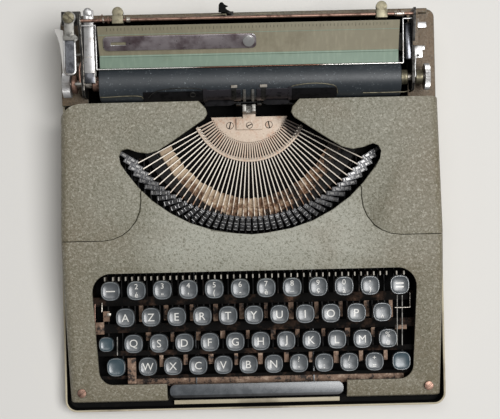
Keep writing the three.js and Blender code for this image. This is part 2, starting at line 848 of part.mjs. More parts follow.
function rearCasing() {
  const front = coverRearY + seamGap;
  const shape = roundedRectangle(-coverHalf, coverHalf, front - overrun, deckRearY, 0, deckCorner);
  const inner = roundedRectangle(-coverHalf + coverWall, coverHalf - coverWall, front - overrun * 2,
    deckRearY - coverWall, 0, deckCorner - coverWall);
  const opening = box(deckOpeningLeft, deckOpeningRight, front - overrun * 2, deckOpeningRear,
    0, deckRimHeight * 2);
  const trim = box(-trayHalf, trayHalf, front - overrun * 3, front, 0, deckRimHeight * 2);
  const slot = box(lockSlotX - lockSlotWidth / 2, lockSlotX + lockSlotWidth / 2, lockSlotFront, lockSlotRear,
    deckHeight - overrun, deckHeight + overrun);
  const hollow = plate(inner, 0, deckHeight - coverWall);
  const walls = cut(plate(shape, seatHeight, deckHeight), hollow, opening, trim, slot);
  const rim = box(-coverHalf + deckCorner, coverHalf - deckCorner, deckRearY - deckRimDepth, deckRearY,
    deckHeight - coverWall, deckRimHeight);
  return join(walls, rim);
}
piece('rear_casing', rearCasing(), deckPaint);

// Main frame: side plates, cross strips, basket plate, fulcrum rod, rear floor plate and spool brackets

function strip(y0, y1, z0) {
  return box(-frameHalf - framePlate, frameHalf + framePlate, y0, y1, z0, z0 + stripThickness);
}

function mainFrame() {
  const profile = [
    [frameFrontY, seatHeight], [frameRearY, seatHeight], [frameRearY, frameRearTop],
    [coverRearY, frameRearTop], [coverRearY - overrun, frameTop], [keysOpeningRear, frameTop],
    [rowY[3] + capRadius, frameKeysTop], [frameFrontY, frameFrontTop],
  ];
  const parts = [-1, 1].map((side) => {
    const x0 = side > 0 ? frameHalf : -frameHalf - framePlate;
    return sideways(profile, x0, x0 + framePlate);
  });
  parts.push(strip(frameFrontY, rowY[3] - capRadius - gap * 4, frameFrontTop - stripThickness));
  for (const row of [0, 1, 2]) {
    const rear = rowY[row] - capRadius + gap;
    const front = row === 2 ? rowY[3] + capRadius + gap * 2 : rowY[row + 1] + capRadius - gap;
    parts.push(strip(front, rear, basketPlateBottom + gap));
  }
  parts.push(strip(fulcrumY - fanRearInset - overrun, fulcrumY + overrun, basketPlateBottom));
  parts.push(rodX(fulcrumRadius, -frameHalf - gap, frameHalf + gap, fulcrumY, leverMiddle, 10));
  parts.push(box(-frameHalf - gap, frameHalf + gap, floorPlateFront, frameRearY - gap,
    seatHeight + gap, seatHeight + floorPlateThickness));
  const fan = new THREE.Shape();
  const start = -Math.PI / 2 - radians(basketPlateAngle);
  fan.absarc(0, printY, basketPlateRadius, start, -Math.PI - start, false);
  fan.lineTo(fanInner, fulcrumY + overrun);
  fan.lineTo(-fanInner, fulcrumY + overrun);
  parts.push(plate(fan, basketPlateBottom, basketPlateTop));
  for (const side of [-1, 1]) {
    const inner = side * (spoolX - spoolBracket / 2);
    const outer = side * (frameHalf + framePlate);
    parts.push(box(Math.min(inner, outer), Math.max(inner, outer), spoolY - spoolBracket / 2,
      spoolY + spoolBracket / 2, frameTop - gap, frameTop + spoolBracketThickness));
    parts.push(rodZ(spoolPinRadius, side * spoolX, spoolY, frameTop, spoolBottom + spoolHeight, 10));
  }
  const drumTop = seatHeight + floorPlateThickness + gap + drumHeight;
  parts.push(rodZ(drumPinRadius, drumX, innerY, seatHeight, drumTop, 10));
  parts.push(rodZ(drumPinRadius / 2, bellX, innerY, seatHeight,
    seatHeight + floorPlateThickness + overrun + bellHeight, 8));
  return join(...parts);
}
piece('main_frame', mainFrame(), rustyIron);

// Keys: a lever on the fulcrum rod, a stem and a dished cap

function leverShape(keyY, capBottom, tabY) {
  const rear = fulcrumY + leverHookReach;
  const notch = fulcrumY - notchOfLever;
  const points = [
    [rear, leverTop], [rear, leverMiddle + notchOfLever], [notch, leverMiddle + notchOfLever],
    [notch, leverMiddle - notchOfLever], [rear, leverMiddle - notchOfLever], [rear, leverBottom],
  ];
  if (tabY !== null) {
    points.push([tabY + linkBarLength, leverBottom], [tabY + linkBarLength, linkBarTop - gap]);
    points.push([tabY, linkBarTop - gap], [tabY, leverBottom]);
  }
  points.push([keyY - stemHalf, leverBottom], [keyY - stemHalf, capBottom], [keyY + stemHalf, capBottom]);
  points.push([keyY + stemHalf, leverTop]);
  if (keyY + stemHalf < headY) {
    const headRear = headY + headLength;
    points.push([headY, leverTop], [headY, headTop], [headRear, headTop], [headRear, leverTop]);
  }
  return points.reverse();
}

function lever(x, keyY, capBottom, tabY) {
  const shape = leverShape(keyY, capBottom, tabY);
  return sideways(shape, x - leverThickness / 2, x + leverThickness / 2);
}

function capRing(x, y, z, radius) {
  const ring = [];
  for (let at = 0; at < capSides; at += 1) {
    const angle = 2 * Math.PI * (at + 0.5) / capSides;
    const c = Math.cos(angle);
    const s = Math.sin(angle);
    const out = Math.sign(c) * Math.abs(c) ** capSquarenessShare;
    const along = Math.sign(s) * Math.abs(s) ** capSquarenessShare;
    ring.push(new THREE.Vector3(x + radius * out, y + radius * along, z));
  }
  return ring;
}

function cap(x, y, top, radius) {
  const crown = radius * capTopRadius / capRadius;
  return loft([capRing(x, y, top - capHeight, radius), capRing(x, y, top, crown)]);
}

function keyParts(x, row, tabY) {
  const y = rowY[row];
  const top = rowTop[row];
  return [lever(x, y, top - capHeight / 2, tabY), cap(x, y, top, capRadius)];
}

function linkBar(x0, x1, y) {
  return box(x0, x1, y, y + linkBarLength, linkBarTop - linkBarHeight, linkBarTop);
}

// A row whose levers are joined by a link bar under them
function keyRow(row, bar) {
  const parts = [];
  const y = linkBarY[bar];
  for (let at = 0; at < rowKeyCount[row]; at += 1) {
    parts.push(...keyParts(rowLeft[row] + keyPitch * at, row, y));
  }
  return join(...parts, linkBar(rowLeft[row], rowRight[row], y));
}
piece('keys_digit_row', keyRow(0, 0), keyPlastic);
piece('keys_upper_row', keyRow(1, 1), keyPlastic);
piece('keys_lower_row', keyRow(3, 2), keyPlastic);

homeNames.forEach((name, at) => {
  piece(`key_${name}`, join(...keyParts(rowLeft[2] + keyPitch * at, 2, null)), keyPlastic);
});

piece('key_margin_release', join(...keyParts(marginReleaseX, 0, null)), keyPlastic);
piece('key_backspace', join(...keyParts(backspaceX, 0, null)), keyPlastic);

const lockLever = lever(shiftLockX, rowY[2], rowTop[2] - capHeight / 2, null);
piece('key_shift_lock', join(lockLever, cap(shiftLockX, rowY[2], rowTop[2], lockCapRadius)), keyPlastic);

function shiftKeys() {
  const y = linkBarY[3];
  const capBottom = rowTop[3] - capHeight / 2;
  return join(
    lever(shiftLeverLeftX, rowY[3], capBottom, y), cap(shiftLeftX, rowY[3], rowTop[3], capRadius),
    lever(shiftLeverRightX, rowY[3], capBottom, y), cap(shiftRightX, rowY[3], rowTop[3], capRadius),
    linkBar(shiftLeverLeftX, shiftLeverRightX, y));
}
piece('shift_keys', shiftKeys(), keyPlastic);

function spaceBar() {
  const corner = spaceDepth * spaceEndShare;
  const bar = roundedRectangle(spaceX - spaceLength / 2, spaceX + spaceLength / 2,
    spaceY - spaceDepth / 2, spaceY + spaceDepth / 2, corner, corner);
  const rear = fulcrumY + leverHookReach;
  const notch = fulcrumY - notchOfLever;
  const arm = [
    [rear, leverTop], [rear, leverMiddle + notchOfLever], [notch, leverMiddle + notchOfLever],
    [notch, leverMiddle - notchOfLever], [rear, leverMiddle - notchOfLever], [rear, leverBottom],
    [spaceY - stemHalf, spaceArmBottom], [spaceY - stemHalf, spaceTop - spaceThickness / 2],
    [spaceY + stemHalf, spaceTop - spaceThickness / 2], [spaceY + stemHalf, spaceArmTop],
    [headY, spaceArmTop],
  ].reverse();
  const arms = [-1, 1].map((side) => {
    const x = side * spaceArmLeverCount * leverPitch;
    return sideways(arm, x - leverThickness / 2, x + leverThickness / 2);
  });
  return join(plate(bar, spaceTop - spaceThickness, spaceTop), ...arms);
}
piece('space_bar', spaceBar(), blackPlastic);

// Type segment: a half disc with a radial slot for each typebar and a groove for the fulcrum wire

function typeAngle(index) {
  return radians((index - (typebarCount - 1) / 2) * typebarAngle);
}

function polar(radius, angle, aside) {
  return [
    radius * Math.sin(angle) + aside * Math.cos(angle), printY - radius * Math.cos(angle) + aside * Math.sin(angle)];
}

function typeSegment() {
  const rear = printY - fanRearInset;
  const half = slotWidth / 2;
  const points = [];
  const edge = typeAngle(-1);
  const rearHalf = fanInner * Math.sin(-edge) * fanEdgeShare;
  points.push([-rearHalf, rear], polar(fanOuter, edge, 0));
  for (let at = 0; at < typebarCount; at += 1) {
    const angle = typeAngle(at);
    points.push(polar(fanOuter, angle, -half), polar(fanInner, angle, -half));
    points.push(polar(fanInner, angle, half), polar(fanOuter, angle, half));
  }
  points.push(polar(fanOuter, -edge, 0), [rearHalf, rear]);
  const body = plate(outline(points), fanBottom, fanTop);
  const bottom = fanBottom - overrun;
  const groove = new THREE.LatheGeometry([
    new THREE.Vector2(pivotRadius - grooveHalf, 0), new THREE.Vector2(pivotRadius + grooveHalf, 0),
    new THREE.Vector2(pivotRadius + grooveHalf, pivotHeight + wireRadius + gap - bottom),
    new THREE.Vector2(pivotRadius - grooveHalf, pivotHeight + wireRadius + gap - bottom),
    new THREE.Vector2(pivotRadius - grooveHalf, 0),
  ], 36).rotateX(Math.PI / 2).translate(0, printY, bottom);
  return cut(body, groove);
}
piece('type_segment', typeSegment(), segmentMetal);

// Typebars. Each is laid out where it prints and swung back to rest about its pivot
function typebar(index, pierced) {
  const angle = typeAngle(index);
  const outward = new THREE.Vector3(Math.sin(angle), -Math.cos(angle), 0);
  const axis = new THREE.Vector3(-Math.cos(angle), -Math.sin(angle), 0);
  const pivot = new THREE.Vector3(0, printY, pivotHeight).addScaledVector(outward, pivotRadius);
  const bar = new THREE.BoxGeometry(typebarLength + typebarTail, typebarThickness, typebarHeight);
  bar.translate((typebarLength - typebarTail) / 2, 0, 0);
  const aside = axis.clone().negate();
  const rise = new THREE.Matrix4().makeBasis(outward, aside, new THREE.Vector3(0, 0, 1));
  const tilt = new THREE.Matrix4().makeRotationAxis(axis, radians(typebarRestAngle));
  bar.applyMatrix4(rise).applyMatrix4(tilt).translate(pivot.x, pivot.y, pivot.z);
  const slug = new THREE.BoxGeometry(slugWidth, slugThickness, slugLength);
  slug.translate(-pivot.x, slugY - pivot.y, printHeight - pivot.z);
  slug.applyMatrix4(new THREE.Matrix4().makeRotationAxis(axis, -swing)).translate(pivot.x, pivot.y, pivot.z);
  if (!pierced) {
    return join(bar, slug);
  }
  const turnToAxis = new THREE.Quaternion().setFromUnitVectors(new THREE.Vector3(0, 1, 0), axis);
  const eye = rod(eyeRadius, typebarThickness, 16).applyQuaternion(turnToAxis);
  const hole = rod(wireRadius + gap, overrun, 12).applyQuaternion(turnToAxis);
  for (const round of [eye, hole]) {
    round.translate(pivot.x, pivot.y, pivot.z);
  }
  return cut(join(bar, slug, eye), hole);
}

const struckTypebar = firstLeverIndex[2] + leversPerKeyCount * homeKeyOfTypebarIndex - firstLeverIndex[1];

function typebars() {
  const parts = [];
  for (let at = 0; at < typebarCount; at += 1) {
    if (at !== struckTypebar) {
      parts.push(typebar(at, false));
    }
  }
  const wire = [];
  const steps = 24;
  const end = typeAngle(-1) * fulcrumWireShare;
  for (let at = 0; at <= steps; at += 1) {
    const [x, y] = polar(pivotRadius, end - 2 * end * at / steps, 0);
    wire.push(new THREE.Vector3(x, y, pivotHeight));
  }
  parts.push(bentRod(wire, wireRadius, 3, steps));
  return join(...parts);
}
piece('typebars', typebars(), brightSteel);
piece('typebar_h', typebar(struckTypebar, true), brightSteel);

function typeRest() {
  const shape = new THREE.Shape();
  const start = -Math.PI / 2 - radians(restAngle);
  const end = -Math.PI / 2 + radians(restAngle);
  shape.absarc(0, printY, restOuter, start, end, false);
  shape.absarc(0, printY, restInner, end, start, true);
  const options = { depth: restTop - basketPlateTop - gap, bevelEnabled: false, curveSegments: 12 };
  return new THREE.ExtrudeGeometry(shape, options).translate(0, 0, basketPlateTop + gap);
}
piece('type_rest', typeRest(), felt);

function typeGuide() {
  const foot = box(-guideFootHalf, guideFootHalf, guideFootFront, printY - fanRearInset,
    fanTop + gap, fanTop + gap + guideFootThickness);
  const tongue = box(-guideHalf, guideHalf, guideFootFront + overrun, guideRear,
    fanTop + gap, fanTop + gap + guideFootThickness);
  const post = box(-guideHalf, guideHalf, guideFront, guideRear, fanTop + gap, guideTop);
  const notchBottom = guideTop - slugLength * guideSlotShare;
  const slot = box(-guideSlotHalf, guideSlotHalf, guideFront - overrun, guideRear + overrun,
    notchBottom, guideTop + overrun);
  return cut(join(foot, tongue, post), slot);
}
piece('type_guide', typeGuide(), chrome);

function ribbonVibrator() {
  const rear = vibratorY + vibratorThickness;
  const bridge = box(-vibratorOuter, vibratorOuter, vibratorY, rear,
    vibratorBottom, vibratorBottom + vibratorBridge);
  const posts = [-1, 1].map((side) => {
    const x0 = side > 0 ? vibratorInner : -vibratorOuter;
    return box(x0, x0 + vibratorOuter - vibratorInner, vibratorY, rear, vibratorBottom, vibratorTop);
  });
  return join(bridge, ...posts);
}
piece('ribbon_vibrator', ribbonVibrator(), chrome);

function ribbonSpool(side) {
  const bore = spoolPinRadius + gap;
  const profile = [
    [bore, 0], [spoolRadius, 0], [spoolRadius, spoolFlange], [spoolCoreRadius, spoolFlange],
    [spoolCoreRadius, spoolHeight - spoolFlange], [spoolRadius, spoolHeight - spoolFlange],
    [spoolRadius, spoolHeight], [bore, spoolHeight], [bore, 0],
  ].map(([x, y]) => new THREE.Vector2(x, y));
  const spool = new THREE.LatheGeometry(profile, 18).rotateX(Math.PI / 2);
  return spool.translate(side * spoolX, spoolY, spoolBottom);
}
piece('ribbon_spool_left', ribbonSpool(-1), darkSteel);
piece('ribbon_spool_right', ribbonSpool(1), darkSteel);

// The ribbon runs from spool to spool across the printing line
function ribbon() {
  const startX = spoolX + (spoolCoreRadius + gap + ribbonThickness) * Math.cos(radians(ribbonAngle));
  const startY = spoolY + (spoolCoreRadius + gap + ribbonThickness) * Math.sin(radians(ribbonAngle));
  const line = [[startX, startY], [ribbonCornerX, ribbonCornerY], [vibratorOuter + overrun, ribbonFrontY]];
  const near = [...line, ...[...line].reverse().map(([x, y]) => [-x, y])];
  const far = near.map(([x, y]) => [x, y + ribbonThickness]).reverse();
  const bottom = spoolBottom + spoolFlange + gap;
  return plate(outline([...near, ...far]), bottom, bottom + ribbonHeight);
}
piece('ribbon', ribbon(), ribbonCloth);

// Carriage rail

function carriageRail() {
  const rail = box(-railHalf, railHalf, railFront, railFront + railThickness, railBottom, railTop);
  const foot = box(-railFootHalf, railFootHalf, railFront, railFront + railThickness,
    railBottom, railBottom + railFootHeight);
  return join(rail, foot);
}
piece('carriage_rail', carriageRail(), brightSteel);

// Platen, knobs and feed roller

function platen() {
  return join(
    rodX(platenRadius, platenLeft, platenRight, platenY, printHeight, 32),
    rodX(shaftRadius, shaftLeft, shaftRight, platenY, printHeight, 12),
    rodX(hubRadius, platenRight - gap, platenRight + hubLength, platenY, printHeight, 16),
    rodX(hubRadius, platenLeft - hubLength, platenLeft + gap, platenY, printHeight, 16));
}
piece('platen', platen(), blackRubber);

function knob(x0, width) {
  const shape = new THREE.Shape();
  for (let at = 0; at < knobRidgeCount * 2; at += 1) {
    const radius = at % 2 ? knobRadius - knobRidgeDepth : knobRadius;
    const angle = Math.PI * at / knobRidgeCount;
    const point = [radius * Math.cos(angle), radius * Math.sin(angle)];
    if (at === 0) {
      shape.moveTo(...point);
    } else {
      shape.lineTo(...point);
    }
  }
  const body = extruded(shape, width).applyMatrix4(alongX).translate(x0, platenY, printHeight);
  const bore = rodX(shaftRadius + gap, x0 - overrun, x0 + width + overrun, platenY, printHeight, 12);
  return cut(body, bore);
}
piece('platen_knob_left', knob(knobLeft, knobLeftWidth), chrome);
piece('platen_knob_right', knob(knobRight, knobRightWidth), chrome);

const rollerReach = platenRadius + rollerRadius + gap;
const rollerY = platenY + rollerReach * Math.cos(radians(rollerAngle));
const rollerHeight = printHeight - rollerReach * Math.sin(radians(rollerAngle));
piece('feed_roller', join(
  rodX(rollerRadius, rollerLeft, rollerRight, rollerY, rollerHeight, 16),
  rodX(rollerAxleRadius, endPlateLeft + endPlate / 2, endPlateRight + endPlate / 2, rollerY, rollerHeight, 8),
), blackRubber);

// Carriage frame: two end plates, the beam that runs on the rail, and the ribs under the paper table

const underTable = tableThickness / Math.cos(tableSlope) + gap;
function endPlateShape() {
  return [
    [platenY - knobRadius, beamBottom + overrun], [rollerY, beamBottom + gap],
    [beamRear - gap, beamBottom + gap],
    [marginRailY + stopHalf, flangeHeight - overrun], [marginRailY + stopHalf, marginRailHeight + stopBodyHalf],
    [marginRailY - stopHalf, marginRailHeight + stopBodyHalf], [tableCreaseY, flangeHeight + flangeThickness],
    [platenY - hubRadius, flangeHeight], [platenY - knobRadius, printHeight + hubRadius],
  ];
}

function carriageFrame() {
  const holes = [
    rodX(shaftRadius + gap, endPlateLeft - overrun, endPlateRight + overrun, platenY, printHeight, 12),
    rodX(rollerAxleRadius + gap, endPlateLeft - overrun, endPlateRight + overrun, rollerY, rollerHeight, 10),
    rodX(marginRailRadius + gap, endPlateLeft - overrun, endPlateRight + overrun, marginRailY, marginRailHeight, 12),
    rodX(bailArmRadius + gap, endPlateLeft - overrun, endPlateRight + overrun, bailPivotY, bailPivotHeight, 10),
  ];
  const railWay = box(endPlateLeft - overrun, endPlateRight + overrun,
    railFront - gap, railFront + railThickness + gap, beamBottom - overrun, railTop + gap);
  const plates = [endPlateLeft, endPlateRight].map(
    (x) => cut(sideways(endPlateShape(), x, x + endPlate), ...holes, railWay));
  const beam = cut(
    box(endPlateLeft + gap, endPlateRight + gap, beamFront, beamRear, beamBottom, beamTop), railWay);
  const middle = (tableCreaseY + tableRearY) / 2;
  const ribTop = (y) => tableCreaseHeight + (y - tableCreaseY) * Math.tan(tableSlope) - underTable;
  const rib = [
    [middle - overrun, beamTop - gap], [beamRear, beamTop - gap], [beamRear, ribTop(beamRear)],
    [middle - overrun, ribTop(middle - overrun)],
  ];
  const ribs = [rollerLeft, rollerRight].map((x) => sideways(rib, x - ribThickness / 2, x + ribThickness / 2));
  const flange = box(endPlateLeft, flangeRight, strapFront + gap, tableCreaseY, flangeHeight - flangeThickness,
    flangeHeight);
  const bracket = box(bracketLeft, endPlateLeft + gap,
    leverPivotY - returnEyeRadius, leverPivotY + returnEyeRadius,
    bracketHeight, returnHeight - gap);
  const bolt = rodZ(returnBoltRadius, leverPivotX, leverPivotY, bracketHeight, returnHeight + returnThickness, 12);
  return join(...plates, beam, ...ribs, flange, bracket, bolt);
}
piece('carriage_frame', carriageFrame(), darkSteel);

// Paper table: a bent sheet, with the paper support arm folded flat on it

function paperTable() {
  const drop = tableThickness;
  const profile = [
    [tableFrontY, tableFrontHeight - drop], [tableCreaseY, tableCreaseHeight - drop],
    [tableRearY, tableRearHeight - drop], [tableRearY, tableRearHeight],
    [tableCreaseY, tableCreaseHeight], [tableFrontY, tableFrontHeight],
  ];
  return sideways(profile, tableLeft, tableRight);
}
piece('paper_table', paperTable(), tablePaint);

function onTable(geometry) {
  const x = supportPivotX;
  const tilted = geometry.translate(0, supportAcross, gap).rotateX(tableSlope);
  return tilted.translate(x, tableCreaseY, tableCreaseHeight);
}

function paperSupport() {
  const left = supportLeft - supportPivotX;
  const half = supportWidth / 2;
  const corner = half * supportEndShare;
  const arm = plate(roundedRectangle(left, half, -half, half, corner, corner), 0, supportThickness);
  const slotLeft = left + half;
  const slot = box(slotLeft, slotLeft + supportSlotLength, -supportSlotWidth / 2, supportSlotWidth / 2,
    -overrun, overrun);
  const rivet = rodZ(rivetRadius, 0, 0, supportThickness / 2, supportThickness + rivetHeight, 16);
  return onTable(join(cut(arm, slot), rivet));
}
piece('paper_support', paperSupport(), chrome);

function paperBail() {
  const reach = platenRadius + bailRadius + gap;
  const y = platenY + reach * Math.sin(radians(bailAngle));
  const z = printHeight + reach * Math.cos(radians(bailAngle));
  const bar = rodX(bailRadius, bailLeft, bailRight, y, z, 10);
  const parts = [bar];
  for (const [x, plateEdge] of [[bailLeft, endPlateLeft + endPlate / 2], [bailRight, endPlateRight + endPlate / 2]]) {
    const from = new THREE.Vector3(x, y, z);
    const to = new THREE.Vector3(x, bailPivotY, bailPivotHeight);
    const length = from.distanceTo(to);
    const arm = box(-bailArmRadius, bailArmRadius, 0, length + bailArmRadius, -bailArmRadius, bailArmRadius);
    arm.rotateX(Math.atan2(to.z - from.z, to.y - from.y)).translate(x, y, z);
    const stub = rodX(bailArmRadius, Math.min(x, plateEdge), Math.max(x, plateEdge), bailPivotY, bailPivotHeight, 8);
    parts.push(arm, stub);
  }
  return join(...parts);
}
piece('paper_bail', paperBail(), chrome);

// Margin rail and its two sliding stops

piece('margin_rail', rodX(marginRailRadius, endPlateLeft + endPlate / 2, endPlateRight + endPlate / 2,
  marginRailY, marginRailHeight, 12), copper);

function marginStop(x) {
  const block = box(x - stopHalf, x + stopHalf, marginRailY - stopBodyHalf, marginRailY + stopBodyHalf,
    marginRailHeight - stopBodyHalf, marginRailHeight + stopBodyHalf);
  const button = rodZ(stopButtonRadius, x, stopButtonY, marginRailHeight - stopButtonHeight,
    marginRailHeight + stopButtonHeight, 16);
  const bore = rodX(marginRailRadius + gap, x - overrun, x + overrun, marginRailY, marginRailHeight, 12);
  return cut(join(block, button), bore);
}
piece('margin_stop_left', marginStop(stopLeftX), brass);
piece('margin_stop_right', marginStop(stopRightX), brass);

// Return lever: an eye on the pivot bolt, a neck, a scoop over the knob and a flared finger flange

function returnLever() {
  const top = returnHeight + returnThickness;
  const eye = rodZ(returnEyeRadius, leverPivotX, leverPivotY, returnHeight, top, 20);
  const neck = box(leverPivotX - returnNeckHalf, leverPivotX + returnNeckHalf, returnNeckEnd, leverPivotY,
    returnHeight, top);
  const scoopShape = roundedRectangle(leverPivotX - returnScoopHalf, leverPivotX + returnScoopHalf,
    returnScoopEnd, returnNeckEnd + gap, returnScoopHalf * returnScoopShare, returnThickness);
  const scoop = plate(scoopShape, returnHeight, top);
  const foot = leverPivotX - returnScoopHalf;
  const lean = [
    [foot, returnHeight], [foot + returnThickness, returnHeight],
    [foot + returnThickness - returnFlangeFlare, top + returnFlangeHeight],
    [foot - returnFlangeFlare, top + returnFlangeHeight],
  ];
  const flange = lengthways(lean, returnScoopEnd + returnEyeRadius, returnNeckEnd + returnEyeRadius);
  const bore = rodZ(returnBoltRadius + gap, leverPivotX, leverPivotY, returnHeight - overrun, top + overrun, 12);
  return cut(join(eye, neck, scoop, flange), bore);
}
piece('return_lever', returnLever(), chrome);

piece('return_lever_screw', slottedHead(leverPivotX, leverPivotY, returnHeight + returnThickness + gap,
  returnScrewRadius, returnScrewHead, returnScrewAngle), brass);

function carriageStrap() {
  const bottom = flangeHeight + gap;
  const strap = box(strapLeft, strapRight, strapFront, strapRear, bottom, bottom + strapThickness);
  const middle = (strapLeft + strapRight) / 2;
  const screw = slottedHead(middle, strapRear - strapScrewRadius * 2, bottom + strapThickness / 2,
    strapScrewRadius, strapThickness * 2, strapScrewAngle);
  return join(strap, screw);
}
piece('carriage_strap', carriageStrap(), chrome);

// Small levers

function paperRelease() {
  const x0 = endPlateRight + endPlate + gap;
  const boss = rodX(releaseThickness, x0, x0 + releaseWidth, releasePivotY, releaseHeight, 12);
  const blade = box(x0, x0 + releaseWidth, releasePivotY - releaseLength / 2, releasePivotY + releaseLength / 2,
    releaseHeight + releaseThickness / 2, releaseHeight + releaseThickness / 2 + releaseThickness);
  return join(boss, blade);
}
piece('paper_release_lever', paperRelease(), chrome);

function marginPawl() {
  const y0 = deckRearY - deckRimDepth;
  const foot = box(pawlX - pawlWidth / 2, pawlX + pawlWidth / 2, y0, deckRearY, deckRimHeight + gap,
    deckRimHeight + pawlWidth / 2);
  const point = lengthways([
    [pawlX - pawlWidth / 2, deckRimHeight + gap], [pawlX + pawlWidth / 2, deckRimHeight + gap],
    [pawlX - pawlWidth * pawlPointShare, pawlTop], [pawlX - pawlWidth / 2, pawlTop - pawlWidth / 2],
  ], y0 + gap, deckRearY - gap);
  return join(foot, point);
}
piece('margin_pawl', marginPawl(), darkSteel);

function carriageLock() {
  const z0 = deckHeight + gap;
  const half = lockSlotWidth / 2 - gap;
  const tab = box(lockSlotX - half, lockTabX + lockTabLength / 2, lockTabY - lockTabDepth / 2,
    lockTabY + lockTabDepth / 2, z0, z0 + lockTabThickness);
  const stem = box(lockSlotX - half, lockSlotX + half, lockTabY - lockTabDepth / 2, lockTabY + lockTabDepth / 2,
    deckHeight - coverWall - overrun, z0 + gap);
  return join(tab, stem);
}
piece('carriage_lock', carriageLock(), chrome);

const floorTop = seatHeight + floorPlateThickness + gap;
function springDrum() {
  const bore = drumPinRadius + gap;
  const profile = [
    [bore, 0], [drumRadius, 0], [drumRadius, drumHeight], [bore, drumHeight], [bore, 0],
  ].map(([x, y]) => new THREE.Vector2(x, y));
  return new THREE.LatheGeometry(profile, 20).rotateX(Math.PI / 2).translate(drumX, innerY, floorTop);
}
piece('mainspring_drum', springDrum(), darkSteel);

function bell() {
  const bore = drumPinRadius / 2 + gap;
  const profile = [
    [bore, bellHeight], [bore, bellHeight - bellWall],
    [bellRadius * bellInnerShare, bellHeight - bellWall * 2], [bellRadius - bellWall, 0], [bellRadius, 0],
    [bellRadius * bellOuterShare, bellHeight - bellWall], [bore, bellHeight],
  ].map(([x, y]) => new THREE.Vector2(x, y));
  return new THREE.LatheGeometry(profile, 20).rotateX(Math.PI / 2).translate(bellX, innerY, floorTop + gap);
}
piece('bell', bell(), brass);

export default typewriter;
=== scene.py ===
# A slim portable typewriter seen from above, dressed over its own solids. Metres, +Z up.

import json
import math

import bpy
from mathutils import Matrix, Vector


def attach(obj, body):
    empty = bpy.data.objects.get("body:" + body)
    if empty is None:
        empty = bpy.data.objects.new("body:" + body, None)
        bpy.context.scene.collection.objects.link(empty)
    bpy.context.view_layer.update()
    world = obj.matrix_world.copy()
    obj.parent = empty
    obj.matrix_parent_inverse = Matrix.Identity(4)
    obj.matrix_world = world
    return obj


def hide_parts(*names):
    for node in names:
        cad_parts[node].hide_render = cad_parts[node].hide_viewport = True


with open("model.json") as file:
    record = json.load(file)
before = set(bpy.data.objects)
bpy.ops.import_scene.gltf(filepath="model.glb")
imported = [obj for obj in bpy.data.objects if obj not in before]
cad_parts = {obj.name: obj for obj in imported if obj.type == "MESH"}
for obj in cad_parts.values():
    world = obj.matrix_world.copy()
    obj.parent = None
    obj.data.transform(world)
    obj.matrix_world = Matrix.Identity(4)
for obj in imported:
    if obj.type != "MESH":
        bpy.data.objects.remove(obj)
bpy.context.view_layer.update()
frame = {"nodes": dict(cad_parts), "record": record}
body_of_node = {
    node: body for body, nodes in frame["record"]["behaviour"]["bodies"].items() for node in nodes
}


# Modelling, as by hand


def deselect():
    if bpy.context.object is not None and bpy.context.object.mode != "OBJECT":
        bpy.ops.object.mode_set(mode="OBJECT")
    bpy.ops.object.select_all(action="DESELECT")


def take(piece):
    deselect()
    piece.select_set(True)
    bpy.context.view_layer.objects.active = piece


def edit(piece):
    take(piece)
    bpy.ops.object.mode_set(mode="EDIT")
    bpy.ops.mesh.select_all(action="SELECT")


def edit_marked(piece, kind, marks):
    """Edit mode with the marked faces or edges selected, one mark for each of them."""
    take(piece)
    mesh = piece.data
    for elements in (mesh.vertices, mesh.edges, mesh.polygons):
        elements.foreach_set("select", [False] * len(elements))
    for element, mark in zip(mesh.polygons if kind == "FACE" else mesh.edges, marks):
        element.select = mark
    bpy.ops.object.mode_set(mode="EDIT")
    bpy.ops.mesh.select_mode(type=kind)


def edit_faces(piece, test):
    """Edit mode with the faces selected whose centre and normal pass the test."""
    edit_marked(piece, "FACE", [test(face.center, face.normal) for face in piece.data.polygons])


def leave():
    bpy.ops.mesh.select_mode(type="VERT")
    bpy.ops.object.mode_set(mode="OBJECT")


def settle(name):
    """The object just added gets its name, and its place goes into its mesh."""
    piece = bpy.context.object
    piece.name = name
    piece.data.name = name
    bpy.ops.object.transform_apply(location=True, rotation=True, scale=True)
    return piece


def apply_modifier(piece, kind, **settings):
    modifier = piece.modifiers.new(kind.lower(), kind)
    for key, value in settings.items():
        setattr(modifier, key, value)
    take(piece)
    bpy.ops.object.modifier_apply(modifier=modifier.name)


def face_outward(piece):
    edit(piece)
    bpy.ops.mesh.remove_doubles(threshold=1e-6)
    bpy.ops.mesh.normals_make_consistent(inside=False)
    leave()


def smooth(piece, angle=35.0):
    take(piece)
    bpy.ops.object.shade_smooth_by_angle(angle=math.radians(angle))


def bevelled(piece, width, segments, angle=30.0, material=-1):
    """Broken edges. They keep their faces' finish, or take the finish of that index."""
    apply_modifier(
        piece, "BEVEL", width=width, segments=segments, limit_method="ANGLE",
        angle_limit=math.radians(angle), use_clamp_overlap=True, material=material,
    )


def paint(piece, *finishes):
    piece.data.materials.clear()
    for material in finishes:
        piece.data.materials.append(material)


def paint_where(piece, index, test):
    """The faces whose centre and normal pass the test take the finish of that index."""
    for face in piece.data.polygons:
        if test(face.center, face.normal):
            face.material_index = index


def placed(piece, body, finishes=(), node=None):
    """The piece goes on its body, its finishes and the node that it stands for."""
    if finishes:
        paint(piece, *finishes)
    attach(piece, body)
    if node:
        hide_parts(node)
    return piece


def block(name, low, high, bevel=0.0, segments=2):
    deselect()
    low, high = Vector(low), Vector(high)
    bpy.ops.mesh.primitive_cube_add(size=1, location=(low + high) / 2, scale=high - low)
    piece = settle(name)
    if bevel:
        bevelled(piece, bevel, segments)
    smooth(piece)
    return piece


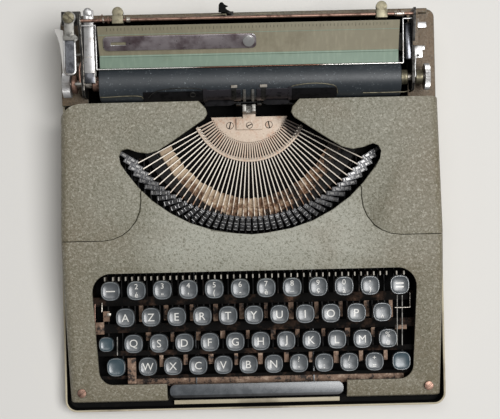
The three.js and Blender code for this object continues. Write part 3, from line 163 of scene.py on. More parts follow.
def turned(name, start, direction, stations, sides):
    """A round piece grown from a disc by extrusions. Each station is a distance and a radius."""
    deselect()
    start, direction = Vector(start), Vector(direction).normalized()
    distance, radius = stations[0]
    turn = direction.to_track_quat("Z", "Y").to_euler()
    bpy.ops.mesh.primitive_circle_add(
        vertices=sides, radius=radius, fill_type="NGON", location=start + direction * distance, rotation=turn,
    )
    piece = settle(name)
    edit(piece)
    for next_distance, next_radius in stations[1:]:
        shift = direction * (next_distance - distance)
        bpy.ops.mesh.extrude_region_move(TRANSFORM_OT_translate={"value": shift})
        scale = next_radius / radius
        if abs(scale - 1) > 1e-6:
            centre = start + direction * next_distance
            bpy.ops.transform.resize(value=(scale, scale, scale), center_override=centre)
        distance, radius = next_distance, next_radius
    leave()
    face_outward(piece)
    smooth(piece)
    return piece


def plate(name, points, rise, bevel=0.0, segments=2, finish=True):
    """A flat piece: an outline of points on one plane, extruded by the vector rise."""
    deselect()
    bpy.ops.mesh.primitive_circle_add(vertices=len(points), radius=1, fill_type="NGON")
    piece = settle(name)
    for vertex, point in zip(piece.data.vertices, points):
        vertex.co = point
    edit(piece)
    bpy.ops.mesh.extrude_region_move(TRANSFORM_OT_translate={"value": rise})
    leave()
    face_outward(piece)
    if bevel:
        bevelled(piece, bevel, segments)
    if finish:
        smooth(piece)
    return piece


def wire(name, points, radius, sides=3, steps=8, closed=False, straight=False):
    """A round wire bent through the points."""
    deselect()
    bpy.ops.curve.primitive_bezier_curve_add()
    piece = bpy.context.object
    piece.name = name
    curve = piece.data
    spline = curve.splines[0]
    spline.bezier_points.add(len(points) - len(spline.bezier_points))
    handle = "VECTOR" if straight else "AUTO"
    for knot, point in zip(spline.bezier_points, points):
        knot.co = point
        knot.handle_left_type = handle
        knot.handle_right_type = handle
    spline.use_cyclic_u = closed
    spline.resolution_u = 1 if straight else steps
    curve.bevel_depth = radius
    curve.bevel_resolution = sides
    curve.use_fill_caps = True
    take(piece)
    bpy.ops.object.convert(target="MESH")
    piece = settle(name)
    face_outward(piece)
    smooth(piece, 60)
    return piece


def points_at(corners, height):
    """Corners of an outline in plan, at one height."""
    return [Vector((x, y, height)) for x, y in corners]


def blocks(body, rows):
    """Blocks of one body. Each row: name, low and high corner, bevel, finish and slot."""
    for name, low, high, bevel, finish, slot in rows:
        placed(block(name, low, high, bevel), body, [finish])


def wires(body, slot, rows, **shape):
    """Wires of one body. Each row: name, points, radius and finish."""
    for name, points, radius, finish in rows:
        placed(wire(name, points, radius, **shape), body, [finish])


def copied(piece, name, matrix=None):
    """A copy with a mesh of its own, moved by a matrix."""
    made = bpy.data.objects.new(name, piece.data.copy())
    made.data.name = name
    bpy.context.scene.collection.objects.link(made)
    if matrix is not None:
        made.data.transform(matrix)
    return made


def joined(name, *pieces):
    deselect()
    for piece in pieces:
        piece.select_set(True)
    bpy.context.view_layer.objects.active = pieces[0]
    bpy.ops.object.join()
    whole = bpy.context.object
    whole.name = name
    whole.data.name = name
    return whole


def arc(centre, radius, start, end, count, height):
    """Points on an arc in plan, from one angle in degrees to another."""
    points = []
    for at in range(count + 1):
        angle = math.radians(start + (end - start) * at / count)
        x, y = centre[0] + radius * math.cos(angle), centre[1] + radius * math.sin(angle)
        points.append(Vector((x, y, height)))
    return points


SLOT_SHARE = 0.16
SCREW_SIDES = 28


def screw_head(name, radius, height):
    """A slotted head on the origin, facing up: a disc, and two half discs with the slot between them."""
    disc = turned(name, (0, 0, 0), (0, 0, 1), ((0, radius), (height * 0.55, radius)), SCREW_SIDES)
    start = math.degrees(math.asin(SLOT_SHARE))
    halves = []
    for side in (1, -1):
        outline = arc((0, 0), radius, start, 180 - start, SCREW_SIDES // 2, height * 0.5)
        for point in outline:
            point.y *= side
        halves.append(plate("half_head", outline, (0, 0, height * 0.5), bevel=radius * 0.08))
    return joined(name, disc, *halves)


def node_copy(node, name=None):
    """The mesh of a solid with its loose triangles merged and its flat faces made whole."""
    piece = copied(frame["nodes"][node], name or f"{node}_dressed")
    take(piece)
    if piece.data.has_custom_normals:
        bpy.ops.mesh.customdata_custom_splitnormals_clear()
    edit(piece)
    bpy.ops.mesh.remove_doubles(threshold=1e-5)
    bpy.ops.mesh.dissolve_limited(angle_limit=math.radians(0.5))
    leave()
    return piece


NO_LENGTH = 0.0002


def round_corners(piece, width, inside):
    """The upright edges whose place in plan passes the test are rounded."""
    marks = []
    for line in piece.data.edges:
        low, high = [piece.data.vertices[at].co for at in line.vertices]
        upright = (low.xy - high.xy).length < NO_LENGTH < abs(low.z - high.z)
        marks.append(upright and inside(low.x, low.y))
    edit_marked(piece, "EDGE", marks)
    bpy.ops.mesh.bevel(offset=width, segments=5, clamp_overlap=True)
    leave()


def dressed(node, slot, *finishes, bevel=0.0, segments=2, angle=50.0, edge=False, corners=None):
    """A node's own shape with broken edges, which take the second finish where edge is set."""
    piece = node_copy(node)
    if corners:
        round_corners(piece, *corners)
    paint(piece, *finishes)
    paint_where(piece, 0, lambda centre, normal: True)
    if bevel:
        bevelled(piece, bevel, segments, angle, 1 if edge else -1)
    smooth(piece)
    return placed(piece, body_of_node[node], node=node)


# Finishes


def colour(code):
    """A colour written as on a paint chart, turned to the linear values that the shader takes."""
    channels = [int(code[at:at + 2], 16) / 255 for at in (0, 2, 4)]
    linear = [value / 12.92 if value <= 0.04045 else ((value + 0.055) / 1.055) ** 2.4 for value in channels]
    return (*linear, 1.0)


class Finish:
    """A material being built: its shader, and the patterns that feed it."""

    def __init__(self, name, base, roughness, metallic=0.0):
        self.material = bpy.data.materials.new(name)
        self.material.use_nodes = True
        self.tree = self.material.node_tree
        self.shader = self.tree.nodes["Principled BSDF"]
        self.socket("Base Color", colour(base)).socket("Roughness", roughness).socket("Metallic", metallic)
        self.place = self.tree.nodes.new("ShaderNodeTexCoord").outputs["Object"]
        self.shade = None

    def socket(self, name, value):
        self.shader.inputs[name].default_value = value
        return self

    def node(self, kind, output, *values, mode=None, **inputs):
        """The output of a new node. Values go to its first inputs, named ones to the inputs so named."""
        node = self.tree.nodes.new(f"ShaderNode{kind}")
        if mode:
            setattr(node, *mode)
        targets = list(zip(node.inputs, values))
        targets += [(node.inputs[name.replace("_", " ")], value) for name, value in inputs.items()]
        for target, value in targets:
            if isinstance(value, bpy.types.NodeSocket):
                self.tree.links.new(value, target)
            else:
                target.default_value = value
        return node.outputs[output]

    def noise(self, scale, detail=3.0, roughness=0.55, stretch=None, distortion=0.0):
        place = self.node("Mapping", "Vector", Vector=self.place, Scale=stretch) if stretch else self.place
        return self.node(
            "TexNoise", "Fac", Vector=place, Scale=scale, Detail=detail, Roughness=roughness,
            Distortion=distortion,
        )

    def axis(self, name):
        return self.node("SeparateXYZ", name, self.place)

    def reach_from(self, centre):
        """Distance from a point, in metres."""
        return self.node("VectorMath", "Value", self.place, centre, mode=("operation", "DISTANCE"))

    def span(self, value, low, high, share=1.0):
        """The value from low to high, spread over nothing to the share and held there."""
        return self.node(
            "MapRange", "Result", mode=("interpolation_type", "SMOOTHSTEP"), Value=value,
            From_Min=low, From_Max=high, To_Max=share,
        )

    def sum(self, first, second, operation="ADD"):
        return self.node("Math", "Value", first, second, mode=("operation", operation))

    def times(self, first, second):
        return self.sum(first, second, "MULTIPLY")

    def aside(self):
        """Distance from the middle plane."""
        return self.sum(self.axis("X"), 0, "ABSOLUTE")

    def tint(self, factor, code):
        """The colour so far goes over to another where the factor is 1."""
        base = self.shader.inputs["Base Color"]
        before = self.shade or base.default_value
        self.shade = self.node(
            "Mix", "Result", mode=("data_type", "RGBA"), A=before, B=colour(code), Factor=factor,
        )
        self.tree.links.new(self.shade, base)

    def layer(self, pattern, low, high, share, code):
        """A colour laid on, to its share, where the pattern goes from low to high."""
        self.tint(self.span(pattern, low, high, share), code)

    def gloss(self, factor, low, high):
        roughness = self.node("MapRange", "Result", Value=factor, To_Min=low, To_Max=high)
        self.tree.links.new(roughness, self.shader.inputs["Roughness"])
        return self

    def relief(self, height, strength, depth):
        normal = self.node("Bump", "Normal", Height=height, Strength=strength, Distance=depth)
        self.tree.links.new(normal, self.shader.inputs["Normal"])
        return self


def layered(name, base, roughness, metallic, noises, layers, gloss=None, relief=None):
    """A finish of named noises. A layer is a noise, where it starts and is full, its share and its colour."""
    finish = Finish(name, base, roughness, metallic)
    patterns = {pattern: finish.noise(*settings) for pattern, settings in noises.items()}
    for pattern, *settings in layers:
        finish.layer(patterns[pattern], *settings)
    if gloss:
        finish.gloss(patterns[gloss[0]], *gloss[1:])
    if relief:
        finish.relief(patterns[relief[0]], *relief[1:])
    return finish


CLEAN_AND_LIT_PLACE = (0.005, -0.028, 0.047)


def crinkle_paint(name, base, light, dark, rub, clean_and_lit, grime_and_shade_reach):
    """Baked crinkle enamel: mottled, rubbed brown, lighter in the middle (cleaner paint, partly a painted
    pool of light), darker at the sides and the front (dirt, partly painted shade).
    """
    enamel = Finish(name, base, 0.6)
    wrinkle = enamel.noise(620, 4.0, 0.62, distortion=0.6)
    grain = enamel.noise(1500, 3.0, 0.6)
    # Lighter round the middle: cleaner paint, and partly a painted pool of light.
    enamel.layer(enamel.reach_from(CLEAN_AND_LIT_PLACE), 0.1, 0.055, 0.9, clean_and_lit)
    enamel.layer(enamel.noise(16, 4.0, 0.6), 0.42, 0.72, 0.45, rub)
    # Darker at the sides and the front: dirt, and partly painted shade.
    front = enamel.span(enamel.axis("Y"), -0.02, -0.13)
    grime_and_shade = enamel.sum(enamel.span(enamel.aside(), *grime_and_shade_reach), front, "MAXIMUM")
    enamel.tint(enamel.times(grime_and_shade, 0.42), rub)
    enamel.layer(wrinkle, 0.5, 0.68, 0.6, light)
    enamel.layer(wrinkle, 0.49, 0.33, 0.75, dark)
    enamel.layer(grain, 0.5, 0.3, 0.4, dark)
    enamel.gloss(wrinkle, 0.62, 0.36)
    return enamel.relief(enamel.sum(wrinkle, enamel.times(grain, 0.35)), 0.8, 0.0006).material


def table_finish(name, base, light, dark):
    """Smooth enamel on the bent sheet under the paper, rubbed across by it."""
    return layered(
        name, base, 0.42, 0.0,
        {"streak": (1.0, 3.0, 0.55, (420, 90, 90)), "cloud": (35, 5.0, 0.65), "grain": (900, 2.0)},
        (("streak", 0.45, 0.75, 0.4, light), ("cloud", 0.55, 0.75, 0.6, dark)),
        gloss=("cloud", 0.3, 0.55), relief=("grain", 0.2, 0.0001),
    ).material


def chrome_finish(name, base, stain, stain_share):
    """Plated steel with clouded spots and stains."""
    return layered(
        name, base, 0.3, 0.75, {"spots": (420, 4.0, 0.7), "cloud": (75, 4.0)},
        (("cloud", 1.0 - stain_share, 0.75, 0.9, stain), ("spots", 0.62, 0.68, 0.85, "3c3a3a")),
        gloss=("spots", 0.18, 0.5), relief=("cloud", 0.15, 0.0003),
    ).material


def metal_finish(name, base, dark, roughness, scale=260):
    """Bare or browned metal, darker in patches."""
    return layered(
        name, base, roughness, 0.85, {"patch": (scale, 4.0, 0.65)}, (("patch", 0.45, 0.66, 0.9, dark),),
        gloss=("patch", roughness - 0.12, roughness + 0.2), relief=("patch", 0.3, 0.00012),
    ).material


def rubber_finish(name, base, dust):
    """Old hard rubber with dust in its pores."""
    return layered(
        name, base, 0.42, 0.0, {"dust": (620, 3.0, 0.7), "cloud": (40, 4.0)},
        (("cloud", 0.45, 0.7, 0.5, "33383c"), ("dust", 0.62, 0.71, 0.8, dust)),
        gloss=("dust", 0.32, 0.62), relief=("dust", 0.25, 0.00015),
    ).material


def plastic_finish(name, base, light, roughness):
    """Moulded plastic: glossy, a little clouded by hands."""
    plastic = layered(
        name, base, roughness, 0.0, {"cloud": (210, 4.0, 0.6)}, (("cloud", 0.42, 0.75, 0.6, light),),
        gloss=("cloud", roughness * 0.75, roughness * 1.6), relief=("cloud", 0.06, 0.0002),
    )
    return plastic.socket("Coat Weight", 0.6).socket("Coat Roughness", 0.24).material


def shade_and_rust_finish():
    """Near-black iron, a painted shade for the keyboard's gaps, under patches of rust at the front."""
    iron = Finish("frame_shade_and_rust", "080706", 0.75)
    patch = iron.noise(60, 5.0, 0.7)
    grain = iron.noise(520)
    front = iron.span(iron.axis("Y"), -0.052, -0.064)
    iron.tint(iron.times(iron.span(patch, 0.5, 0.62), front), "33261e")
    iron.tint(iron.times(iron.span(patch, 0.62, 0.7, 0.9), front), "6f5546")
    iron.layer(grain, 0.58, 0.7, 0.8, "1c1613")
    iron.gloss(grain, 0.6, 0.9).socket("Specular IOR Level", 0.1)
    return iron.relief(grain, 0.5, 0.0003).material


def lever_finish():
    """Key levers: dark low down, brown along, lighter towards their tops."""
    lever = Finish("lever_steel", "0d0b0a", 0.6, 0.3)
    patch = lever.noise(90, 4.0)
    lever.layer(patch, 0.58, 0.7, 0.7, "4a3528")
    ragged = lever.sum(lever.axis("Z"), lever.times(lever.noise(240), 0.01))
    lever.layer(ragged, 0.03, 0.04, 0.3, "8a7a6a")
    lever.layer(ragged, 0.042, 0.044, 0.8, "b5b0a5")
    return lever.relief(patch, 0.3, 0.0002).material


OIL_PLACE = (0.0345, 0.066, 0.0335)


def fan_finish():
    """The cast segment: pale pink-beige with rust specks, an oil stain at its right corner, and painted shade
    that darkens it low down in the comb's slots.
    """
    fan = Finish("segment_iron", "cbb8a5", 0.6)
    grain = fan.noise(800)
    stain = fan.sum(fan.reach_from(OIL_PLACE), fan.times(fan.noise(130), 0.008))
    fan.layer(fan.noise(150, 5.0, 0.7), 0.5, 0.7, 0.7, "b58568")
    fan.layer(grain, 0.58, 0.7, 0.45, "8f6f58")
    fan.layer(grain, 0.42, 0.3, 0.5, "e6d9c9")
    fan.layer(stain, 0.0145, 0.0105, 0.92, "2a1c14")
    # Darker below the top: painted shade in the comb's slots.
    fan.layer(fan.axis("Z"), 0.032, 0.0302, 0.9, "3a2d24")
    return fan.relief(grain, 0.4, 0.0002).material


def bar_finish(centre):
    """Typebars: bright near the fulcrum, browned towards the type."""
    bar = Finish("typebar_steel", "cdc4b7", 0.34, 0.3)
    patch = bar.noise(190, 4.0, 0.65)
    brown = bar.times(bar.span(bar.reach_from(centre), 0.07, 0.08), bar.span(patch, 0.38, 0.6))
    bar.layer(patch, 0.55, 0.7, 0.5, "9a8772")
    bar.tint(bar.times(brown, bar.span(bar.axis("Y"), 0.03, 0.012)), "7a5a42")
    return bar.gloss(patch, 0.25, 0.5).relief(patch, 0.2, 0.0001).material


def felt_finish(centre):
    """The rest under the typebars: matted beige felt, soaked in places, and painted shade that turns it black
    outside at its ends.
    """
    felt = Finish("rest_felt", "b7a289", 0.95)
    fibre = felt.noise(1500, 3.0, 0.7)
    patch = felt.noise(55, 5.0, 0.7)
    soaked = felt.sum(patch, felt.span(felt.axis("X"), -0.03, 0.045, 0.16))
    felt.layer(soaked, 0.48, 0.58, 1.0, "6f523c")
    felt.layer(soaked, 0.58, 0.66, 1.0, "150f0b")
    felt.layer(fibre, 0.58, 0.75, 0.6, "c4b297")
    # Black beyond a radius towards the ends: painted shade.
    outward = felt.sum(felt.reach_from(centre), felt.times(felt.aside(), 0.18))
    felt.layer(felt.sum(outward, felt.times(patch, 0.004)), 0.0902, 0.0918, 1.0, "0c0a09")
    felt.socket("Sheen Weight", 0.1)
    return felt.relief(fibre, 0.9, 0.0005).material


def bail_finish():
    """Bright at the ends, brown in the middle."""
    bail = Finish("bail_steel", "d6d3cf", 0.2, 1.0)
    reach = bail.axis("X")
    bail.tint(bail.times(bail.span(reach, -0.048, -0.03), bail.span(reach, 0.062, 0.048)), "7a5a4c")
    return bail.relief(bail.noise(500), 0.2, 0.0001).material


PRINT_Y, PRINT_HEIGHT = 0.0828, 0.056
PIVOT_RADIUS, PIVOT_HEIGHT = 0.043, 0.03
FAN_CENTRE = (0.0, PRINT_Y, PIVOT_HEIGHT)

casing = crinkle_paint("casing_crinkle", "7d7a6b", "a8a597", "57543f", "6b5d47", "9c9c90", (0.09, 0.145))
# Dark edge finish with lighter patches and rust spots. On the covers' broken edges it is painted shade of
# their turned-down rims; the paper table's scale ticks are printed in it.
rim_shade_and_print = layered(
    "rim_shade_and_print", "3a362a", 0.5, 0.0, {"patch": (160, 4.0), "spot": (60,)},
    (("patch", 0.5, 0.64, 0.8, "6f6b58"), ("spot", 0.6, 0.7, 0.7, "5a3e2c")), relief=("patch", 0.3, 0.0002),
).material
deck = crinkle_paint("deck_crinkle", "585141", "716856", "3d372a", "76583b", "585141", (0.05, 0.14))
tray = layered(
    "tray_enamel", "b0a68d", 0.55, 0.0, {"cloud": (22, 4.0), "grain": (700, 2.0)},
    (("grain", 0.5, 0.75, 0.5, "c4bba6"), ("cloud", 0.52, 0.68, 0.7, "5f5441")),
    gloss=("grain", 0.4, 0.7), relief=("grain", 0.4, 0.00015),
).material
table_olive = table_finish("table_olive", "7a7460", "8f8973", "655d49")
# Pale enamel for the return lever's plated flange: a painted reflection of the sky.
flange_pale_reflection = table_finish("flange_pale_reflection", "b4b2ae", "cdcbc8", "858380")
table_green = table_finish("table_green", "77897a", "8d9e8c", "6a7764")
chrome = chrome_finish("chrome", "b7b6b5", "7c746d", 0.46)
chrome_stained = chrome_finish("chrome_stained", "a89fa2", "503c42", 0.62)
brass = metal_finish("brass", "7f7966", "544f40", 0.45)
copper = metal_finish("copper", "957769", "5c463c", 0.42)
bright_steel = metal_finish("bright_steel", "c4bdb2", "5e5349", 0.35)
dark_steel = metal_finish("dark_steel", "3a3937", "141312", 0.45)
satin_steel = metal_finish("satin_steel", "918f8a", "5b5955", 0.5, 300)
dark_chrome = metal_finish("dark_chrome", "55565a", "2a2b2f", 0.22, 90)
card_steel = metal_finish("card_steel", "4a474c", "232226", 0.34, 200)
shade_steel = metal_finish("shade_steel", "1e1d1f", "0d0c0e", 0.7, 200)
bail_steel = bail_finish()
iron = shade_and_rust_finish()
guide_rust = layered(
    "guide_rust", "7f6654", 0.7, 0.1, {"patch": (170, 5.0, 0.7), "grain": (700,)},
    (("patch", 0.54, 0.64, 0.8, "b39c88"), ("patch", 0.49, 0.4, 0.95, "15100d"),
     ("grain", 0.56, 0.68, 0.6, "4b3628")), relief=("grain", 0.6, 0.0003),
).material
# Near black with dust: painted shade inside the pan, under the segment, round the screw heads and in their
# slots.
soot_and_shade = layered(
    "soot_and_shade", "060606", 0.8, 0.0, {"dust": (90, 4.0)}, (("dust", 0.55, 0.75, 0.6, "1d1916"),),
).socket("Specular IOR Level", 0.15).material
lever_steel = lever_finish()
segment_iron = fan_finish()
typebar_steel = bar_finish(FAN_CENTRE)
slug_steel = layered(
    "slug_steel", "5c5c5e", 0.42, 0.4, {"patch": (340, 4.0, 0.7), "spot": (150,)},
    (("patch", 0.5, 0.62, 0.8, "8e8e90"), ("spot", 0.58, 0.68, 0.8, "1b1b1d")),
    gloss=("patch", 0.3, 0.55), relief=("patch", 0.4, 0.0002),
).material
slug_edge = metal_finish("slug_edge", "a5a4a2", "4c4c4f", 0.4, 500)
felt = felt_finish(FAN_CENTRE)
platen_rubber = rubber_finish("platen_rubber", "21272c", "7d8488")
foot_rubber = rubber_finish("foot_rubber", "1b1b1c", "4a4a48")
key_face = plastic_finish("key_face", "45494c", "5f6467", 0.3)
blank_face = plastic_finish("blank_face", "33444c", "46565d", 0.3)
# Near black: the caps' sides under the face, and painted shade on the space bar.
dark_skirt_and_shade = plastic_finish("dark_skirt_and_shade", "0e1012", "1b1e20", 0.3)
# Light rim ring: a painted highlight on the cap's rounded lip.
rim_highlight = plastic_finish("rim_highlight", "787d80", "979c9e", 0.2)
key_legend = plastic_finish("key_legend", "cfcdc7", "b9b6ad", 0.4)
bar_plastic = plastic_finish("bar_plastic", "3f4347", "585c60", 0.24)
ribbon_cloth = layered(
    "ribbon_cloth", "17181b", 0.7, 0.0, {"weave": (1.0, 2.0, 0.55, (1200, 1200, 2600))},
    (("weave", 0.5, 0.7, 0.6, "3a3c42"),), relief=("weave", 0.5, 0.0002),
).material


# Tray, feet, covers and deck

PAN_FLOOR, PAN_LIP = 0.006, 0.0165
BASKET_REACH = 0.095
BASKET_FRONT, BASKET_REAR = -0.012, 0.092
COVER_CORNER = 0.0028


def shaded_pan_inside(centre, normal):
    """Whether a face is the pan's floor or looks inward from its walls: the faces that take the painted
    shade.
    """
    looks_in = normal.z > 0.9 or centre.xy.dot(normal.xy) < -0.01
    return PAN_FLOOR < centre.z < PAN_LIP and looks_in


def at_basket(x, y):
    return abs(x) < BASKET_REACH and BASKET_FRONT < y < BASKET_REAR


def casing_parts():
    pan = dressed("base_tray", "tray_paint", tray, soot_and_shade, bevel=0.0005, angle=30)
    # Painted shade: the pan's inside turns near black.
    paint_where(pan, 1, shaded_pan_inside)
    for place in ("front_left", "front_right", "rear_left", "rear_right"):
        dressed(f"foot_{place}", "rubber", foot_rubber, bevel=0.0008, segments=3)
    # Their broken edges take the dark rim finish: painted shade along the rims.
    for node in ("top_cover", "ribbon_cover_left", "ribbon_cover_right"):
        dressed(node, "casing_paint", casing, rim_shade_and_print, bevel=0.0006, segments=3, edge=True,
                corners=(COVER_CORNER, at_basket))
    # The deck's broken edges also take the dark rim finish: painted shade.
    dressed("rear_casing", "deck_paint", deck, rim_shade_and_print, bevel=0.0005, edge=True)
    for side in ("left", "right"):
        dressed(f"cover_screw_{side}", "copper", copper, bevel=0.0002)


# Keys

CAP_RADIUS = 0.0071
CAP_HEIGHT = 0.0046
CAP_SQUARENESS = 0.72
CAP_SIDES = 48
CAP_REACH, CAP_MARGIN = 0.0105, 0.00005
# The cap's rings: each a height and a share of the radius
CAP_RINGS = (
    (0.0, 0.97), (0.0004, 1.0), (0.003, 0.985), (0.0042, 0.955), (0.0046, 0.915),
    (0.0046, 0.885), (0.0043, 0.855), (0.0039, 0.7), (0.0036, 0.45), (0.0035, 0.2),
)
FACE_LOW, RIM_LOW = 0.0034, 0.0042
RIM_SHARES = (0.86, 0.97)
KEY_PITCH = 0.01905
# From the rear row to the front one
ROW_TOPS = (0.0585, 0.05, 0.0415, 0.033)
ROW_PLACES = (-0.0555, -0.076, -0.0965, -0.1149)
FIRST_KEYS = (-0.085725, -0.09525, -0.0904875, -0.0809625)
LEGENDS = (
    ("2é", "3\"", "4'", "5(", "6-", "7è", "8_", "9ç", "0à", "°)"),
    ("A", "Z", "E", "R", "T", "Y", "U", "I", "O", "P", "¨^"),
    ("Q", "S", "D", "F", "G", "H", "J", "K", "L", "M", "%ù"),
    ("W", "X", "C", "V", "B", "N", "?,", ".;", "/:", "+="),
)
ROW_BODIES = ("digit_row", "upper_row", None, "lower_row")
HOME_KEYS = ("q", "s", "d", "f", "g", "h", "j", "k", "l", "m", "u_accent")
# Node, name of the cap, X, row, radius, legend and its scale
SIDE_KEYS = (
    ("key_margin_release", "cap_margin_release", -0.104775, 0, CAP_RADIUS, "–", 1.6),
    ("key_backspace", "cap_backspace", 0.107525, 0, CAP_RADIUS, "=", 1.5),
    ("key_shift_lock", "cap_shift_lock", -0.1108875, 2, 0.0056, "", 1.0),
)
SHIFT_PLACES = (("left", -0.1049625), ("right", 0.1108875))


def squircle(radius, height):
    points = []
    for at in range(CAP_SIDES):
        angle = 2 * math.pi * (at + 0.5) / CAP_SIDES
        c, s = math.cos(angle), math.sin(angle)
        x = math.copysign(abs(c) ** CAP_SQUARENESS, c)
        y = math.copysign(abs(s) ** CAP_SQUARENESS, s)
        points.append(Vector((radius * x, radius * y, height)))
    return points


def cap_form():
    """A dished cap on the origin, its underside at zero: a squircle disc, extruded ring by ring."""
    deselect()
    bpy.ops.mesh.primitive_circle_add(vertices=CAP_SIDES, radius=1, fill_type="NGON")
    piece = settle("cap_form")
    height, share = CAP_RINGS[0]
    for vertex, point in zip(piece.data.vertices, squircle(CAP_RADIUS * share, height)):
        vertex.co = point
    edit(piece)
    for next_height, next_share in CAP_RINGS[1:]:
        bpy.ops.mesh.extrude_region_move(TRANSFORM_OT_translate={"value": (0, 0, next_height - height)})
        scale = next_share / share
        bpy.ops.transform.resize(value=(scale, scale, 1), center_override=(0, 0, next_height))
        height, share = next_height, next_share
    leave()
    face_outward(piece)
    paint(piece, dark_skirt_and_shade, key_face, rim_highlight, key_legend)
    paint_where(piece, 1, lambda centre, normal: centre.z > FACE_LOW)
    # The rim ring takes the light rim finish: a painted highlight on the cap's lip.
    low, high = RIM_SHARES
    paint_where(
        piece, 2, lambda centre, normal: low < centre.xy.length / CAP_RADIUS < high and centre.z > RIM_LOW,
    )
    smooth(piece, 40)
    return piece


LETTER_SIZE, LETTER_RISE = 0.0082, -0.0002
SIGN_SIZE = 0.0056
SIGN_RISES = (0.003, -0.0031)
LEGEND_LIFT, LEGEND_DEPTH = 0.00004, 0.0001


def sign(text, size, rise, cap):
    """A sign as a thin skin wrapped onto the cap's dish."""
    deselect()
    bpy.ops.object.text_add(location=(0, 0, CAP_HEIGHT + 0.002))
    piece = bpy.context.object
    piece.data.body = text
    piece.data.size = size
    piece.data.align_x = "CENTER"
    piece.data.align_y = "CENTER"
    piece.data.resolution_u = 3
    bpy.context.view_layer.update()
    across, up = ([corner[axis] for corner in piece.bound_box] for axis in (0, 1))
    piece.location.x = -(min(across) + max(across)) / 2
    piece.location.y = rise - (min(up) + max(up)) / 2
    bpy.ops.object.convert(target="MESH")
    piece = settle("sign")
    edit(piece)
    bpy.ops.mesh.remove_doubles(threshold=1e-6)
    bpy.ops.mesh.subdivide(number_cuts=1)
    leave()
    apply_modifier(
        piece, "SHRINKWRAP", target=cap, wrap_method="PROJECT", use_project_z=True,
        use_negative_direction=True, use_positive_direction=False, offset=LEGEND_LIFT,
    )
    edit(piece)
    bpy.ops.mesh.normals_make_consistent(inside=False)
    bpy.ops.mesh.extrude_region_move(TRANSFORM_OT_translate={"value": (0, 0, -LEGEND_DEPTH)})
    leave()
    face_outward(piece)
    paint(piece, key_legend)
    return piece


def key_cap(form, name, place, radius, legend, body, scale=1.0):
    """A cap at its place. One sign stands in its middle, two stand one over the other."""
    cap = copied(form, name)
    if len(legend) == 1:
        signs = [sign(legend, LETTER_SIZE * scale, LETTER_RISE, cap)]
    else:
        signs = [sign(text, SIGN_SIZE, rise, cap) for text, rise in zip(legend, SIGN_RISES)]
    if signs:
        cap = joined(name, cap, *signs)
    else:
        cap.data.materials[1] = blank_face
    size = radius / CAP_RADIUS
    cap.data.transform(Matrix.Translation(place) @ Matrix.Diagonal((size, size, 1.0, 1.0)))
    cap.data.update()
    placed(cap, body)


def bare_levers(node, caps):
    """A key solid without its plain caps, closed again where each stem meets its cap."""
    piece = node_copy(node, f"{node}_levers")
    mesh = piece.data
    gone = []
    for face in mesh.polygons:
        corners = [mesh.vertices[at].co for at in face.vertices]
        gone.append(any(
            face.center.z > low - CAP_MARGIN
            and all(math.hypot(corner.x - x, corner.y - y) < CAP_REACH for corner in corners)
            for x, y, low in caps
        ))
    edit_marked(piece, "FACE", gone)
    bpy.ops.mesh.delete(type="FACE")
    bpy.ops.mesh.select_mode(type="VERT")
    bpy.ops.mesh.select_non_manifold()
    bpy.ops.mesh.fill_holes(sides=0)
    leave()
    face_outward(piece)
    paint(piece, lever_steel)
    paint_where(piece, 0, lambda centre, normal: True)
    bevelled(piece, 0.00015, 1)
    smooth(piece)
    placed(piece, body_of_node[node], node=node)


def keyboard():
    form = cap_form()
    for row, legends in enumerate(LEGENDS):
        caps = []
        for at, legend in enumerate(legends):
            place = (FIRST_KEYS[row] + KEY_PITCH * at, ROW_PLACES[row], ROW_TOPS[row] - CAP_HEIGHT)
            caps.append(place)
            body = ROW_BODIES[row] or f"key_{HOME_KEYS[at]}"
            key_cap(form, f"cap_{row}_{at}", place, CAP_RADIUS, legend, body)
            if not ROW_BODIES[row]:
                bare_levers(body, [place])
        if ROW_BODIES[row]:
            bare_levers(f"keys_{ROW_BODIES[row]}", caps)
    for node, name, x, row, radius, legend, scale in SIDE_KEYS:
        place = (x, ROW_PLACES[row], ROW_TOPS[row] - CAP_HEIGHT)
        key_cap(form, name, place, radius, legend, body_of_node[node], scale)
        bare_levers(node, [place])
    shifts = [(x, ROW_PLACES[3], ROW_TOPS[3] - CAP_HEIGHT) for side, x in SHIFT_PLACES]
    for (side, x), place in zip(SHIFT_PLACES, shifts):
        key_cap(form, f"cap_shift_{side}", place, CAP_RADIUS, "", "shift")
    bare_levers("shift_keys", shifts)
    bpy.data.objects.remove(form)


BAR_SHADE = -0.138


def space_bar():
    bar = dressed("space_bar", "black_plastic", bar_plastic, dark_skirt_and_shade, bevel=0.0024, segments=6)
    edit(bar)
    bpy.ops.mesh.bisect(plane_co=(0, BAR_SHADE, 0), plane_no=(0, 1, 0))
    leave()
    # Painted shade: the bar's front strip and its downward faces turn near black.
    paint_where(bar, 1, lambda centre, normal: centre.y < BAR_SHADE or normal.z < 0.2)


